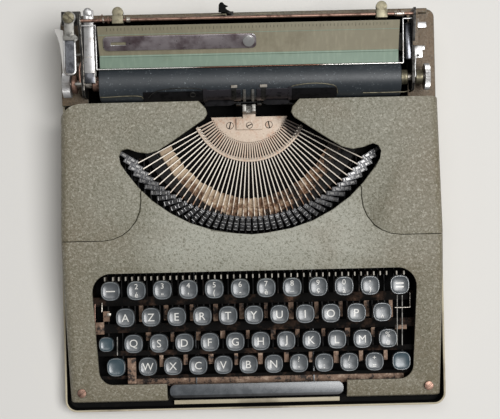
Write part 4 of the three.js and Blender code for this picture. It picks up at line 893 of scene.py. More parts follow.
# First key of the row, middle of the guides, half their length and their count
GUIDE_ROWS = (
    (FIRST_KEYS[1], ROW_PLACES[1] + 0.001, 0.0066, 11),
    (FIRST_KEYS[2], ROW_PLACES[2] + 0.0046, 0.0046, 10),
    (FIRST_KEYS[3], ROW_PLACES[3] + 0.0036, 0.0042, 10),
)
GUIDE_HALF = 0.002
GUIDE_LOW, GUIDE_TOP = 0.0252, 0.0262
RUSTY_SLOT = "rusty_iron"
LINKS = (
    ("front_guide", (-0.097, -0.1328, 0.014), (0.115, -0.1262, 0.015), guide_rust),
    ("shift_guide", (-0.097, -0.1285, 0.0252), (-0.0905, -0.109, 0.0262), guide_rust),
    ("link_left_upper", (-0.1145, -0.0806, 0.027), (-0.1095, -0.0728, 0.028), guide_rust),
    ("link_left_tab", (-0.1116, -0.0765, 0.028), (-0.1085, -0.0742, 0.029), bright_steel),
    ("link_left_lower", (-0.1212, -0.0905, 0.0262), (-0.114, -0.0812, 0.0272), guide_rust),
    ("link_right", (0.1072, -0.0915, 0.0262), (0.1162, -0.0882, 0.0272), guide_rust),
    ("front_strip", (-0.063, -0.1474, 0.011), (0.065, -0.1442, 0.013), tray),
)
RODS = (
    ("rod_left_outer", ((-0.1204, -0.0669, 0.029), (-0.1207, -0.0829, 0.029)), 0.0006, copper),
    ("rod_left_inner", ((-0.115, -0.0663, 0.029), (-0.1152, -0.0731, 0.029)), 0.0006, bright_steel),
    ("rod_shift", ((-0.1042, -0.0926, 0.027), (-0.1045, -0.1065, 0.027)), 0.0006, satin_steel),
    ("rod_right_hook", ((0.1188, -0.064, 0.03), (0.1186, -0.0748, 0.03), (0.1072, -0.0748, 0.03)),
     0.0005, bright_steel),
    ("rod_right_inner", ((0.1095, -0.0656, 0.027), (0.1086, -0.1037, 0.027)), 0.0005, satin_steel),
    ("rod_right_outer", ((0.1133, -0.0657, 0.027), (0.1124, -0.1038, 0.027)), 0.0005, satin_steel),
)


def key_guides():
    """Rusty guides between the keys of each row, each a little off its place, and the links at the sides."""
    for row, (first, middle, half, count) in enumerate(GUIDE_ROWS):
        for at in range(count):
            x = first + KEY_PITCH * (at + 0.5) + 0.0004 * math.sin(at * 3.7 + row)
            wide = GUIDE_HALF * (0.85 + 0.15 * math.sin(at * 2.3 + row * 1.9))
            front = middle - half + 0.0008 * math.sin(at * 1.7 + row * 2.6)
            low, high = (x - wide, front, GUIDE_LOW), (x + wide, middle + half, GUIDE_TOP)
            placed(block(f"guide_{row}_{at}", low, high, 0.0004), "root", [guide_rust])
    blocks("root", [(name, low, high, 0.0003, finish, RUSTY_SLOT) for name, low, high, finish in LINKS])
    wires("root", RUSTY_SLOT, RODS, sides=2, straight=True)


# Type basket

TYPEBAR_COUNT = 42
FAN_MIDDLE = (TYPEBAR_COUNT - 1) / 2
TYPEBAR_STEP = math.radians(3.2)
TYPEBAR_REST = math.radians(8)
STRUCK = 21
FAN_SPREAD, FAN_GROWTH = 2.78, 0.00064
BAR_THICKNESS, BAR_HEIGHT = 0.0008, 0.0022
BAR_REACH, BAR_GROWTH, BAR_GROWN_AT = 0.0436, 0.0092, 62.5
SLUG_HALF, SLUG_GAP = 0.0013, 0.0003
SLUG_LENGTH, SLUG_WIDTH = 0.016, 0.0033
SLUG_REST = 0.0368
# Degrees of a bar in the fan, and of its slug in plan
SLUG_TURNS = ((0, 0), (10, 15.5), (20, 36), (30, 62), (40, 88), (50, 107), (66, 126))
SLUG_SLOPE, FLAT_AT = 50.0, 56.0


def fan_angle(place):
    """Angle of a place in the fan, counted from its middle; the bars stand wider apart towards the sides."""
    return math.radians(FAN_SPREAD * place + FAN_GROWTH * place ** 3)


def around(radius, angle, height=0.0):
    """A point at a radius from the printing point, the angle counted from straight to the front."""
    return Vector((radius * math.sin(angle), PRINT_Y - radius * math.cos(angle), height))


def struck_bar():
    """Angle, swing and length of the bar that the H key throws."""
    run = PIVOT_RADIUS - SLUG_GAP - SLUG_HALF
    rise = PRINT_HEIGHT - PIVOT_HEIGHT
    angle = (STRUCK - FAN_MIDDLE) * TYPEBAR_STEP
    return angle, math.pi - math.atan2(rise, run) - TYPEBAR_REST, math.hypot(rise, run)


def on_line(stations, place):
    """Height over a place on a line through stations."""
    for (low, height_low), (high, height_high) in zip(stations, stations[1:]):
        if place <= high:
            break
    return height_low + (height_high - height_low) * (place - low) / (high - low)


def bar_form(length):
    """A typebar along +X from its eye: a flat bar, necked behind the eye and widened under the type."""
    half = BAR_HEIGHT / 2
    neck = half * 0.72
    upper = ((-0.0014, half), (0.0025, half), (0.006, neck), (length * 0.72, neck), (length * 0.86, half),
             (length, half))
    outline = [Vector((x, BAR_THICKNESS / 2, -z)) for x, z in upper]
    outline += [Vector((x, BAR_THICKNESS / 2, z)) for x, z in reversed(upper)]
    return plate("bar_form", outline, (0, -BAR_THICKNESS, 0), bevel=0.00012, segments=1)


def slug_form():
    """Type slug, upright on the origin, signs towards +Y: a body, two signs, ridges and the saddle behind."""
    half, width = SLUG_LENGTH / 2, SLUG_WIDTH / 2
    parts = [block("slug_body", (-width, -0.0007, -half), (width, 0.0005, half), 0.0002, 1)]
    for low, high in ((0.0022, 0.0056), (-0.0056, -0.0022)):
        parts.append(block("slug_sign", (-0.001, 0.0003, low), (0.001, 0.0012, high), 0.0002, 1))
    for z in (-0.0068, -0.0004, 0.0068):
        low, high = (-width * 0.95, 0.0003, z - 0.0004), (width * 0.95, 0.001, z + 0.0004)
        parts.append(block("slug_ridge", low, high, 0.00015, 1))
    parts.append(block("slug_saddle", (-0.0009, -SLUG_HALF, -0.0035), (0.0009, -0.0005, 0.0035), 0.0002, 1))
    piece = joined("slug_form", *parts)
    paint(piece, slug_steel, slug_edge)
    paint_where(piece, 1, lambda centre, normal: centre.y > 0.0008)
    return piece


def lying_slug(slug, name, start, turn, slope):
    """A slug laid with one end on the start, turned in plan and sloping down, its type facing up."""
    flat = Vector((math.sin(turn), -math.cos(turn), 0))
    along = flat * math.cos(slope) + Vector((0, 0, -math.sin(slope)))
    face = flat * math.sin(slope) + Vector((0, 0, math.cos(slope)))
    pose = Matrix((face.cross(along), face, along)).transposed().to_4x4()
    centre = start + flat * math.cos(slope) * SLUG_LENGTH / 2
    return copied(slug, name, Matrix.Translation(centre) @ pose)


def typebars():
    """The bars at rest: the struck one as its joint holds it, the others fanned out with slugs laid aside."""
    struck_angle, swing, length = struck_bar()
    bar, slug = bar_form(length), slug_form()
    paint(bar, typebar_steel)
    for index in range(TYPEBAR_COUNT):
        angle = struck_angle if index == STRUCK else fan_angle(index - FAN_MIDDLE)
        outward = around(1, angle) - around(0, angle)
        axis = Vector((-math.cos(angle), -math.sin(angle), 0))
        pivot = around(PIVOT_RADIUS, angle, PIVOT_HEIGHT)
        rise = Matrix((outward, -axis, Vector((0, 0, 1)))).transposed().to_4x4()
        at_rest = Matrix.Translation(pivot) @ Matrix.Rotation(TYPEBAR_REST, 4, axis) @ rise
        if index == STRUCK:
            arm = copied(bar, "struck_arm", at_rest)
            to_print = Vector((0, PRINT_Y - SLUG_GAP - SLUG_HALF, PRINT_HEIGHT)) - pivot
            back = Matrix.Translation(pivot) @ Matrix.Rotation(-swing, 4, axis)
            head = copied(slug, "struck_slug", back @ Matrix.Translation(to_print))
            piece = placed(joined("typebar_struck", arm, head), "typebar_h", node="typebar_h")
        else:
            degrees = abs(math.degrees(angle))
            reach = BAR_REACH + BAR_GROWTH * (degrees / BAR_GROWN_AT) ** 2
            stretch = Matrix.Diagonal((reach / length, 1, 1, 1))
            arm = copied(bar, f"typebar_{index}_arm", at_rest @ stretch)
            turn = math.copysign(math.radians(on_line(SLUG_TURNS, degrees)), angle)
            slope = math.radians(max(0.0, SLUG_SLOPE * (1 - (degrees / FLAT_AT) ** 2)))
            start = pivot + outward * reach * math.cos(TYPEBAR_REST)
            start.z = SLUG_REST
            head = lying_slug(slug, f"typebar_{index}_slug", start, turn, slope)
            piece = placed(joined(f"typebar_{index}", arm, head), "root")
        smooth(piece, 30)
    for form in (bar, slug):
        bpy.data.objects.remove(form)


def fulcrum_wire():
    """The wire that all the typebars hang on, in its groove."""
    span = fan_angle((TYPEBAR_COUNT + 1) / 2)
    points = [around(PIVOT_RADIUS, span * (at / 12 - 1), PIVOT_HEIGHT) for at in range(25)]
    piece = wire("fulcrum_wire", points, 0.0009, sides=2, steps=2)
    placed(piece, "root", [bright_steel], "typebars")


def band_line(radius, span, height, steps):
    """Points round the printing point, from one side to the other."""
    return [around(radius, span * (2 * at / steps - 1), height) for at in range(steps + 1)]


def arc_band(name, inner, outer, low, high, span):
    """A flat band round the printing point."""
    outline = band_line(outer, span, low, 40) + band_line(inner, span, low, 40)[::-1]
    return plate(name, outline, (0, 0, high - low), bevel=0.0003)


SEGMENT_REAR = 0.0722
SEGMENT_LOW, SEGMENT_TOP = 0.03, 0.0335
COMB_INNER, COMB_OUTER, COMB_LOW = 0.0308, 0.0433, 0.0296
TOOTH_HALF, TOOTH_ROOT = 0.0005, 0.0012
# Name, place, radius and degrees of the slot
SEGMENT_SCREWS = (
    ("segment_screw_left", (-0.0147, 0.0657, 0.0335), 0.0024, 75),
    ("segment_screw_right", (0.0147, 0.0658, 0.0335), 0.0024, 100),
    ("guide_screw", (0.0, 0.0655, 0.0361), 0.0021, 25),
)
SCREW_SHADOW_RIM = 0.0004
SLOT_FLOOR = 0.0008


def segment():
    """The cast segment: a flat top, a comb that guides the bars, and the ring over their fulcrum wire."""
    side = math.acos((PRINT_Y - SEGMENT_REAR) / COMB_INNER)
    outline = band_line(COMB_INNER, side, SEGMENT_LOW, 48)
    top = plate("segment_top", outline, (0, 0, SEGMENT_TOP - SEGMENT_LOW), bevel=0.0003)
    low, high = (-TOOTH_HALF, -COMB_OUTER, COMB_LOW), (TOOTH_HALF, -COMB_INNER + TOOTH_ROOT, SEGMENT_TOP)
    tooth = block("comb_tooth", low, high, 0.00015, 1)
    teeth = []
    for at in range(TYPEBAR_COUNT + 1):
        turn = Matrix.Rotation(fan_angle(at - TYPEBAR_COUNT / 2), 4, "Z")
        teeth.append(copied(tooth, f"comb_tooth_{at}", Matrix.Translation((0, PRINT_Y, 0)) @ turn))
    bpy.data.objects.remove(tooth)
    ring = arc_band("segment_ring", 0.0431, 0.0446, 0.0312, 0.0331, fan_angle(TYPEBAR_COUNT / 2 + 0.4))
    whole = joined("segment_comb", top, *teeth, ring)
    smooth(whole, 30)
    placed(whole, "root", [segment_iron], "type_segment")
    # A near-black band under the comb: painted shade beneath it.
    base = arc_band("segment_shade_band", 0.02, 0.0462, 0.027, 0.0298, fan_angle(TYPEBAR_COUNT / 2))
    placed(base, "root", [soot_and_shade])
    for name, place, radius, turn in SEGMENT_SCREWS:
        # Each screw sits on a near-black ring: a painted shadow round its head.
        rim = radius + SCREW_SHADOW_RIM
        shadow_seat = turned(f"{name}_seat", place, (0, 0, 1), ((0, rim), (0.0002, rim)), SCREW_SIDES)
        placed(shadow_seat, "root", [soot_and_shade])
        head = screw_head(name, radius, 0.0011)
        head.data.transform(Matrix.Translation(place) @ Matrix.Rotation(math.radians(turn), 4, "Z"))
        placed(head, "root", [segment_iron, soot_and_shade])
        # The slot's floor is near black: painted shade in the slot.
        floor = place[2] + SLOT_FLOOR
        paint_where(head, 1, lambda centre, normal: centre.z < floor and normal.z > 0.9)


FELT_HEIGHT, FELT_RISE = 0.0298, 0.0015
FELT_SPAN = math.radians(63)
FELT_OUTER, OUTER_FALL = 0.0862, 0.0075
FELT_INNER, INNER_FALL = 0.0725, 0.0055


def felt_band():
    """The felt that the bars rest on, wider at the back than its steel strip, with a frayed outer edge."""
    outer, inner = [], []
    for at in range(61):
        place = 2 * at / 60 - 1
        angle = FELT_SPAN * place
        fray = 0.0006 * math.sin(at * 2.9) + 0.0004 * math.sin(at * 5.3)
        outer.append(around(FELT_OUTER - OUTER_FALL * place ** 2 + fray, angle, FELT_HEIGHT))
        inner.append(around(FELT_INNER - INNER_FALL * abs(place) - fray, angle, FELT_HEIGHT))
    band = plate("felt_band", outer + inner[::-1], (0, 0, FELT_RISE), bevel=0.0004)
    placed(band, "root", [felt])


def type_basket():
    segment()
    dressed("type_rest", "felt", felt, bevel=0.0008, segments=3)
    felt_band()
    typebars()
    fulcrum_wire()
    guide = dressed("type_guide", "chrome", satin_steel, segment_iron, bevel=0.0003)
    paint_where(guide, 1, lambda centre, normal: centre.z < 0.0375 and centre.y < 0.073)
    dressed("ribbon_vibrator", "chrome", dark_steel, bevel=0.0002)


# Carriage

PLATEN_Y, PLATEN_HEIGHT = 0.0968, 0.056
# Name, ends, radius, finish, slot, sides and broken edge of the platen's shaft and hubs
SHAFT_PARTS = (
    ("platen_shaft", (-0.1355, 0.1325), 0.003, bright_steel, "bright_steel", 32, 0.0004),
    ("platen_hub_left", (-0.1143, -0.1083), 0.0054, copper, "brass", 40, 0.0007),
    ("platen_hub_right", (0.1108, 0.1168), 0.0054, brass, "brass", 40, 0.0007),
    ("knob_hub_left", (-0.1293, -0.1256), 0.0068, copper, "brass", 40, 0.0007),
    ("knob_hub_right", (0.1222, 0.1282), 0.0052, brass, "brass", 40, 0.0007),
)
KNOBS = (("left", -0.1363, -0.1293), ("right", 0.1282, 0.1332))
KNOB_RADIUS, KNOB_RIDGES, KNOB_GROOVE = 0.0102, 56, 0.0005
KNOB_CROWN, KNOB_FACE, KNOB_SUNK = 0.0004, 0.0022, 0.0008


def round_bar(name, ends, radius, sides, y=PLATEN_Y, z=PLATEN_HEIGHT, edge=0.0004):
    """A rod along X with broken edges."""
    low, high = ends
    stations = ((0, radius - edge), (edge, radius), (high - low - edge, radius), (high - low, radius - edge))
    return turned(name, (low, y, z), (1, 0, 0), stations, sides)


def round_platen(x, radius, angle):
    """A point round the platen's axis, the angle in degrees counted from the rear."""
    y, z = radius * math.cos(math.radians(angle)), radius * math.sin(math.radians(angle))
    return Vector((x, PLATEN_Y + y, PLATEN_HEIGHT + z))


def platen():
    roll = round_bar("platen_roll", (-0.1083, 0.1108), 0.014, 96, edge=0.0006)
    placed(roll, "platen", [platen_rubber], "platen")
    for name, ends, radius, finish, slot, sides, edge in SHAFT_PARTS:
        placed(round_bar(name, ends, radius, sides, edge=edge), "platen", [finish])


def knobs():
    """Knobs with a knurled rim and a sunken face at either end."""
    for side, low, high in KNOBS:
        points = []
        for at in range(KNOB_RIDGES * 2):
            points.append(round_platen(low, KNOB_RADIUS - KNOB_GROOVE * (at % 2), 180 * at / KNOB_RIDGES))
        piece = plate(f"knob_{side}", points, (high - low, 0, 0), finish=False)
        edit_faces(piece, lambda centre, normal: abs(normal.x) > 0.99)
        bpy.ops.mesh.inset(thickness=0.0004, depth=KNOB_CROWN)
        bpy.ops.mesh.inset(thickness=KNOB_FACE, depth=0)
        bpy.ops.mesh.inset(thickness=0.0004, depth=-KNOB_SUNK)
        leave()
        squeeze = (high - low) / (high - low + 2 * KNOB_CROWN)
        middle = (low + high) / 2
        for vertex in piece.data.vertices:
            vertex.co.x = middle + (vertex.co.x - middle) * squeeze
        smooth(piece, 30)
        placed(piece, "platen", [chrome], f"platen_knob_{side}")


TABLE_ENDS = (-0.107, 0.1087)
# Y and height along the paper table's upper face
TABLE_LINE = ((0.1065, 0.0673), (0.1152, 0.0686), (0.135, 0.0805))
TABLE_SLOPE = math.atan2(0.0119, 0.0198)
TABLE_BEADS = (("table_bead", 0.115, 0.0009), ("table_crease", 0.1292, 0.0002))
GREEN_REAR = 0.1153
TICK_PITCH, TICK_COUNT, TICK_PLACE = 0.00254, 80, 0.1327


def paper_table():
    table = dressed("paper_table", "table_paint", table_olive, table_green, bevel=0.0003)
    paint_where(table, 1, lambda centre, normal: centre.y < GREEN_REAR)
    for name, y, radius in TABLE_BEADS:
        height = on_line(TABLE_LINE, y) - radius * 0.25
        bead = round_bar(name, TABLE_ENDS, radius, 16, y, height, radius * 0.4)
        placed(bead, "carriage", [table_green])
    tick = block("tick", (-0.00014, -0.0009, -0.00005), (0.00014, 0.0009, 0.00012))
    tilt = Matrix.Rotation(TABLE_SLOPE, 4, "X")
    ticks = []
    for at in range(TICK_COUNT):
        x = (at - (TICK_COUNT - 1) / 2) * TICK_PITCH
        stretch = Matrix.Diagonal((1, 1 if at % 5 else 1.5, 1, 1))
        place = Matrix.Translation((x, TICK_PLACE, on_line(TABLE_LINE, TICK_PLACE)))
        ticks.append(copied(tick, f"tick_{at}", place @ tilt @ stretch))
    bpy.data.objects.remove(tick)
    placed(joined("table_scale", *ticks), "carriage", [rim_shade_and_print])


SUPPORT_END, SUPPORT_EYE, SUPPORT_TOP = -0.0885, -0.0035, 0.0752


def on_support(centre, normal):
    """Whether a face is at the support's bright end or on its eye."""
    return centre.x < SUPPORT_END or (centre.x > SUPPORT_EYE and centre.z > SUPPORT_TOP)


BAIL_ENDS = (("left", -0.1094, -0.0106), ("right", 0.1122, 0.0076))
BAIL_Y, BAIL_HEIGHT = 0.10569, 0.0687
BAIL_HINGE = (0.137, 0.0726)


def paper_bail():
    bar = [(x, BAIL_Y, BAIL_HEIGHT) for x in (BAIL_ENDS[0][1], 0.0, BAIL_ENDS[1][1])]
    placed(wire("bail_bar", bar, 0.00055, straight=True), "paper_bail", [bail_steel], "paper_bail")
    arms = []
    for side, x, out in BAIL_ENDS:
        points = [(x, BAIL_Y, BAIL_HEIGHT), (x, 0.1335, 0.0722), (x, *BAIL_HINGE), (x + out, *BAIL_HINGE)]
        arms.append((f"bail_arm_{side}", points, 0.0006, chrome))
    wires("paper_bail", "chrome", arms, straight=True)


RAIL_Y, RAIL_HEIGHT = 0.14, 0.076
RAIL_PARTS = (
    ("rail_washer", (-0.1, -0.0985), 0.0024, copper),
    ("rail_collar", (-0.1035, -0.1022), 0.0021, bright_steel),
    ("rail_sleeve", (0.1056, 0.1128), 0.0019, bright_steel),
    ("rail_nut", (-0.0865, -0.0835), 0.002, bright_steel),
)
TAB_HEIGHT = 0.0778
TAB_WIRES = (
    ("tab_wire_left", ((-0.1062, 0.1388), (-0.1036, 0.144), (-0.1009, 0.139))),
    ("tab_wire_right", ((0.1066, 0.1385), (0.1084, 0.143), (0.1124, 0.1384))),
)
RAIL_CLIPS = (("rail_clip_left", -0.025, -0.015), ("rail_clip_right", 0.006, 0.023))
CLIP_FOOT, CLIP_TOP = (0.1408, 0.0772), (0.1422, 0.0775)


def margin_rail_and_stops():
    rail = round_bar("margin_rod", (-0.1201, 0.1199), 0.0012, 24, RAIL_Y, RAIL_HEIGHT, 0.0002)
    placed(rail, "carriage", [copper], "margin_rail")
    for side in ("left", "right"):
        dressed(f"margin_stop_{side}", "brass", brass, bevel=0.0004, segments=3)
    for name, ends, radius, finish in RAIL_PARTS:
        placed(round_bar(name, ends, radius, 20, RAIL_Y, RAIL_HEIGHT), "carriage", [finish])
    tabs = [(name, points_at(corners, TAB_HEIGHT), 0.00045, copper) for name, corners in TAB_WIRES]
    wires("carriage", "copper", tabs, sides=2, closed=True, straight=True)
    for name, low, high in RAIL_CLIPS:
        points = [(low, *CLIP_FOOT), (low, *CLIP_TOP), (high, *CLIP_TOP), (high, *CLIP_FOOT)]
        wires("carriage", "brass", [(name, points, 0.0004, brass)], sides=2, straight=True)


LEVER_X = -0.1287
LEVER_LOW, LEVER_TOP = 0.0682, 0.07
SCOOP_FRONT, SCOOP_REAR = 0.1056, 0.1298
# X from the lever's middle, and Y
ARROW_CORNERS = (
    (-0.0044, 0.1307), (0.003, 0.1307), (0.0042, 0.1316), (0.0072, 0.1283), (0.004, 0.1255),
    (0.0034, 0.127), (-0.0044, 0.1272),
)
# Y, and how far the flange stands out from its foot
FLANGE_EDGE = (
    (0.103, 0.0), (0.1345, 0.0), (0.1352, 0.006), (0.1345, 0.0088), (0.1325, 0.008), (0.129, 0.0056),
    (0.124, 0.0036), (0.117, 0.0022), (0.109, 0.0014), (0.104, 0.001),
)
FLANGE_THICKNESS = 0.0009


def return_lever():
    """Eye and neck, a scoop whose chrome rim is painted bright as a highlight round a dark floor, an arrow
    head, and the finger flange in pale enamel as a painted reflection.
    """
    rise = (0, 0, LEVER_TOP - LEVER_LOW)
    outline = arc((LEVER_X, 0.1434), 0.005, -44, 224, 24, LEVER_LOW)
    outline += points_at(((LEVER_X - 0.0036, 0.128), (LEVER_X + 0.0036, 0.128)), LEVER_LOW)
    neck = plate("lever_neck", outline, rise, bevel=0.0004)
    placed(neck, "return_lever", [satin_steel], "return_lever")
    outline = arc((LEVER_X - 0.001, SCOOP_FRONT), 0.0036, 180, 270, 6, LEVER_LOW)
    outline += arc((LEVER_X + 0.001, SCOOP_FRONT), 0.0036, 270, 360, 6, LEVER_LOW)
    outline += points_at(((LEVER_X + 0.0046, SCOOP_REAR), (LEVER_X - 0.0046, SCOOP_REAR)), LEVER_LOW)
    scoop = plate("lever_scoop", outline, rise, bevel=0.0003)
    edit_faces(scoop, lambda centre, normal: normal.z > 0.99)
    bpy.ops.mesh.inset(thickness=0.0008, depth=0)
    bpy.ops.mesh.inset(thickness=0.0005, depth=-0.0009)
    leave()
    smooth(scoop, 30)
    placed(scoop, "return_lever", [chrome, dark_chrome])
    # The rim stays bright chrome, a painted highlight; the floor takes the dark chrome.
    paint_where(scoop, 1, lambda centre, normal: normal.z > 0.99 and centre.z < LEVER_TOP - 0.0005)
    corners = [(LEVER_X + x, y) for x, y in ARROW_CORNERS]
    head = plate("lever_arrow", points_at(corners, LEVER_TOP - 0.0002), (0, 0, 0.0009), bevel=0.0002)
    placed(head, "return_lever", [satin_steel])
    up = Vector((-0.0065, 0, 0.0088)).normalized()
    foot = Vector((LEVER_X - 0.0042, 0, 0.069))
    outline = [foot + up * out + Vector((0, y, 0)) for y, out in FLANGE_EDGE]
    across = Vector((-up.z, 0, up.x)) * FLANGE_THICKNESS
    # The flange is pale enamel, not chrome: a painted reflection.
    placed(plate("lever_flange", outline, across, bevel=0.0002), "return_lever", [flange_pale_reflection])
    dressed("return_lever_screw", "brass", brass, bevel=0.0002)


STRAP_FRONT = 0.099
BRIGHT_SLOT = "bright_steel"
END_BLOCKS = (
    ("strap_crease", (-0.1186, 0.1148, 0.0676), (-0.1112, 0.1153, 0.0681), 0.0001, bright_steel, BRIGHT_SLOT),
    ("strap_end", (-0.1184, 0.0962, 0.0677), (-0.1114, 0.1035, 0.0681), 0.0002, dark_chrome, "chrome"),
    ("left_pin_rear", (-0.1252, 0.117, 0.06), (-0.1192, 0.1188, 0.0618), 0.0004, satin_steel, BRIGHT_SLOT),
    ("left_pin_front", (-0.1248, 0.1095, 0.059), (-0.1192, 0.1118, 0.0612), 0.0004, satin_steel, BRIGHT_SLOT),
    ("left_tab", (-0.1262, 0.0952, 0.064), (-0.1192, 0.0972, 0.0652), 0.0004, satin_steel, BRIGHT_SLOT),
    ("left_rod_bracket", (-0.1222, 0.0985, 0.056), (-0.1206, 0.1095, 0.06), 0.0003, copper, "copper"),
    ("left_end_strip", (-0.1111, 0.101, 0.0668), (-0.1101, 0.1345, 0.0676), 0.0003, satin_steel, "chrome"),
    ("right_dark_strap", (0.1144, 0.1085, 0.064), (0.1191, 0.135, 0.066), 0.0016, dark_chrome, "dark_steel"),
    ("right_top_flange", (0.1192, 0.118, 0.07), (0.1232, 0.142, 0.0708), 0.0003, deck, "deck_paint"),
    ("right_short_pin", (0.1247, 0.1355, 0.056), (0.1256, 0.14, 0.057), 0.0003, chrome, BRIGHT_SLOT),
    ("right_post", (0.1206, 0.1315, 0.056), (0.1256, 0.133, 0.0575), 0.0003, dark_steel, "dark_steel"),
)
END_WIRES = (
    ("left_brown_rod", ((-0.1226, 0.0975, 0.062), (-0.1226, 0.108, 0.063), (-0.1215, 0.112, 0.063)), 0.0009,
     copper),
    ("right_end_wire", ((0.1216, 0.096, 0.064), (0.1214, 0.104, 0.065), (0.122, 0.111, 0.065)), 0.0005,
     chrome),
)
STRAP_SCREW = ((0, 0.003), (0.0006, 0.003), (0.0011, 0.0022))


def carriage_ends():
    """Straps, plates and little levers at the carriage's ends."""
    dressed("carriage_frame", "dark_steel", dark_steel, bright_steel, bevel=0.0003, edge=True)
    strap = dressed("carriage_strap", "chrome", chrome, dark_chrome, bevel=0.0003)
    paint_where(strap, 1, lambda centre, normal: centre.y < STRAP_FRONT)
    blocks("carriage", END_BLOCKS)
    wires("carriage", "chrome", END_WIRES, sides=2)
    dressed("paper_release_lever", "chrome", chrome, bevel=0.0004, segments=3)
    screw = turned("strap_screw", (-0.115, 0.1474, 0.0694), (0, 0, 1), STRAP_SCREW, 32)
    placed(screw, "carriage", [chrome])
    hole = turned("release_hole", (0.1235, 0.1112, 0.0645), (0, 0, 1), ((0, 0.0011), (0.0008, 0.0011)), 20)
    placed(hole, "paper_release", [dark_steel])
    toe = block("release_toe", (0.125, 0.115, 0.063), (0.129, 0.1185, 0.0648), 0.0006, 3)
    placed(toe, "paper_release", [chrome])


# Name, ends along X, degrees round the platen from the rear, radius, thickness and finish
CARD_SHELLS = (
    ("card_plate_left", -0.0325, -0.0058, 174, 121, 0.0144, 0.0006, card_steel),
    ("card_plate_right", 0.0058, 0.03, 174, 121, 0.0144, 0.0006, card_steel),
    ("card_rib_left", -0.033, -0.0302, 172, 116, 0.015, 0.0006, card_steel),
    ("card_rib_right", 0.0286, 0.0312, 172, 116, 0.015, 0.0006, card_steel),
    ("card_notch_left", -0.0125, -0.009, 160, 118, 0.015, 0.0007, dark_steel),
    ("card_notch_right", 0.009, 0.0125, 160, 118, 0.015, 0.0007, dark_steel),
    ("card_prong_left", -0.004, -0.0021, 176, 121, 0.015, 0.0007, satin_steel),
    ("card_prong_right", 0.0021, 0.004, 176, 121, 0.015, 0.0007, satin_steel),
    ("card_tip_left", -0.0128, -0.0082, 116, 108, 0.0146, 0.0008, bright_steel),
    ("card_tip_right", 0.0082, 0.0134, 116, 108, 0.0146, 0.0008, bright_steel),
    ("card_shade_left", -0.0765, -0.0332, 178, 124, 0.0144, 0.0005, shade_steel),
    ("card_shade_right", 0.0315, 0.064, 178, 122, 0.0144, 0.0005, shade_steel),
)
CARD_FLANGES = (("left", -0.0325, -0.0105), ("right", 0.0105, 0.03))
CARD_WIRE = 0.00035
CARD_WIRES = (
    ("card_hoop_right", ((0.03, 0.0862, 0.0664), (0.031, 0.09, 0.0688), (0.0345, 0.0912, 0.0693),
                         (0.059, 0.0912, 0.0693), (0.0632, 0.0895, 0.0686), (0.0645, 0.085, 0.0656)),
     CARD_WIRE, brass),
    ("card_wire_left", ((-0.1075, 0.086, 0.0664), (-0.106, 0.0858, 0.0664), (-0.078, 0.0858, 0.0662),
                        (-0.0767, 0.0846, 0.0652)), CARD_WIRE, brass),
    ("card_wire_right", ((0.1166, 0.086, 0.0668), (0.115, 0.0853, 0.0657), (0.108, 0.085, 0.0653),
                         (0.083, 0.085, 0.0653)), CARD_WIRE, brass),
    ("card_hoop_left", ((-0.0325, 0.0862, 0.0664), (-0.0335, 0.0893, 0.0684), (-0.037, 0.0902, 0.0689),
                        (-0.06, 0.0902, 0.0689), (-0.069, 0.088, 0.0678), (-0.073, 0.0848, 0.0654)),
     CARD_WIRE, dark_steel),
)


def card_holder():
    """Plates, prongs and wires that hold the sheet to the platen; they lift with the rail."""
    for name, low, high, start, end, radius, thickness, finish in CARD_SHELLS:
        angles = [start + (end - start) * at / 8 for at in range(9)]
        outline = [round_platen(low, radius, angle) for angle in angles]
        outline += [round_platen(low, radius + thickness, angle) for angle in reversed(angles)]
        shell = plate(name, outline, (high - low, 0, 0), bevel=0.00012, segments=1)
        placed(shell, "rail", [finish])
    for side, low, high in CARD_FLANGES:
        corners = ((low, 0.0826), (low + 0.0004, 0.0796), (low + 0.003, 0.0786), (high - 0.003, 0.0786),
                   (high - 0.0004, 0.0796), (high, 0.0826))
        flange = plate(f"card_flange_{side}", points_at(corners, 0.0572), (0, 0, 0.0006), bevel=0.0001)
        placed(flange, "rail", [shade_steel])
    wires("rail", "dark_steel", CARD_WIRES, sides=2)
    deselect()
    bpy.ops.mesh.primitive_torus_add(
        major_radius=0.0018, minor_radius=0.0005, location=(-0.0405, 0.0862, 0.0671),
        rotation=(math.radians(42), 0, 0), major_segments=28, minor_segments=8,
    )
    ring = settle("card_ring")
    smooth(ring)
    placed(ring, "rail", [dark_steel])


def carriage():
    dressed("carriage_rail", "bright_steel", bright_steel, bevel=0.0003)
    dressed("feed_roller", "rubber", foot_rubber, bevel=0.0004)
    platen()
    knobs()
    paper_table()
    support = dressed("paper_support", "chrome", chrome_stained, chrome, bevel=0.0003, segments=3)
    paint_where(support, 1, on_support)
    paper_bail()
    margin_rail_and_stops()
    return_lever()
    carriage_ends()
    card_holder()


FIN_CORNERS = (
    (-0.0203, 0.1432), (-0.02, 0.1486), (-0.0189, 0.1503), (-0.0174, 0.1505), (-0.0156, 0.1486),
    (-0.0131, 0.1475), (-0.0153, 0.1465), (-0.0127, 0.1432),
)
FIN_LOW = 0.0786


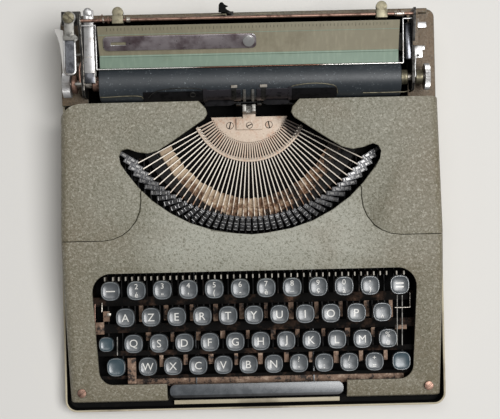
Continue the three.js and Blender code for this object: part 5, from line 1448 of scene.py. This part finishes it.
def inner_works():
    # The frame's near-black finish is painted shade between the key rows.
    dressed("main_frame", "rusty_iron", iron, bevel=0.0002)
    dressed("margin_pawl", "dark_steel", dark_steel, bevel=0.0003)
    fin = plate("pawl_fin", points_at(FIN_CORNERS, FIN_LOW), (0, 0, 0.0012), bevel=0.0003)
    placed(fin, body_of_node["margin_pawl"], [soot_and_shade])
    dressed("carriage_lock", "chrome", chrome, bevel=0.0003)
    dressed("mainspring_drum", "dark_steel", dark_steel, bevel=0.0005)
    dressed("bell", "brass", brass, bevel=0.0002)
    for side in ("left", "right"):
        dressed(f"ribbon_spool_{side}", "dark_steel", dark_steel, bevel=0.0002)
    dressed("ribbon", "ribbon_cloth", ribbon_cloth)


# Floor, light and camera

CAMERA_PLACE = (-0.001, 0.0021, 0.8628)
CAMERA_TURN = math.radians(-1.32)
CAMERA_LENS, SENSOR_WIDTH = 79.06, 36.0
SKY_STRENGTH = 0.16
# Name, place, size and power
LAMPS = (
    ("key_light", (0.72, 0.02, 2.05), 1.1, 42),
    ("fill_light", (-0.3, 0.9, 2.2), 1.2, 9),
)


def camera():
    """Over the keyboard, as the photograph was taken."""
    deselect()
    bpy.ops.object.camera_add(location=CAMERA_PLACE, rotation=(0, 0, CAMERA_TURN))
    view = bpy.context.object
    view.data.lens = CAMERA_LENS
    view.data.sensor_width = SENSOR_WIDTH
    view.data.clip_start = 0.01
    bpy.context.scene.camera = view


def surroundings():
    """A pale sky, and round lamps that look at the origin."""
    world = bpy.data.worlds.new("studio")
    bpy.context.scene.world = world
    world.use_nodes = True
    shade = world.node_tree.nodes["Background"]
    shade.inputs["Color"].default_value = (1.0, 1.0, 1.0, 1.0)
    shade.inputs["Strength"].default_value = SKY_STRENGTH
    for name, place, size, power in LAMPS:
        deselect()
        bpy.ops.object.light_add(type="AREA", location=place)
        light = bpy.context.object
        light.name = name
        light.data.shape = "DISK"
        light.data.size = size
        light.data.energy = power
        light.rotation_euler = (-Vector(place)).to_track_quat("-Z", "Y").to_euler()


def floor():
    deselect()
    bpy.ops.mesh.primitive_plane_add(size=6, location=(0, 0, 0))
    piece = settle("floor")
    paint(piece, Finish("floor_pale", "d6d4d0", 0.8).material)


bpy.context.scene.view_settings.view_transform = "Standard"
camera()
surroundings()
floor()
casing_parts()
keyboard()
space_bar()
key_guides()
type_basket()
carriage()
inner_works()
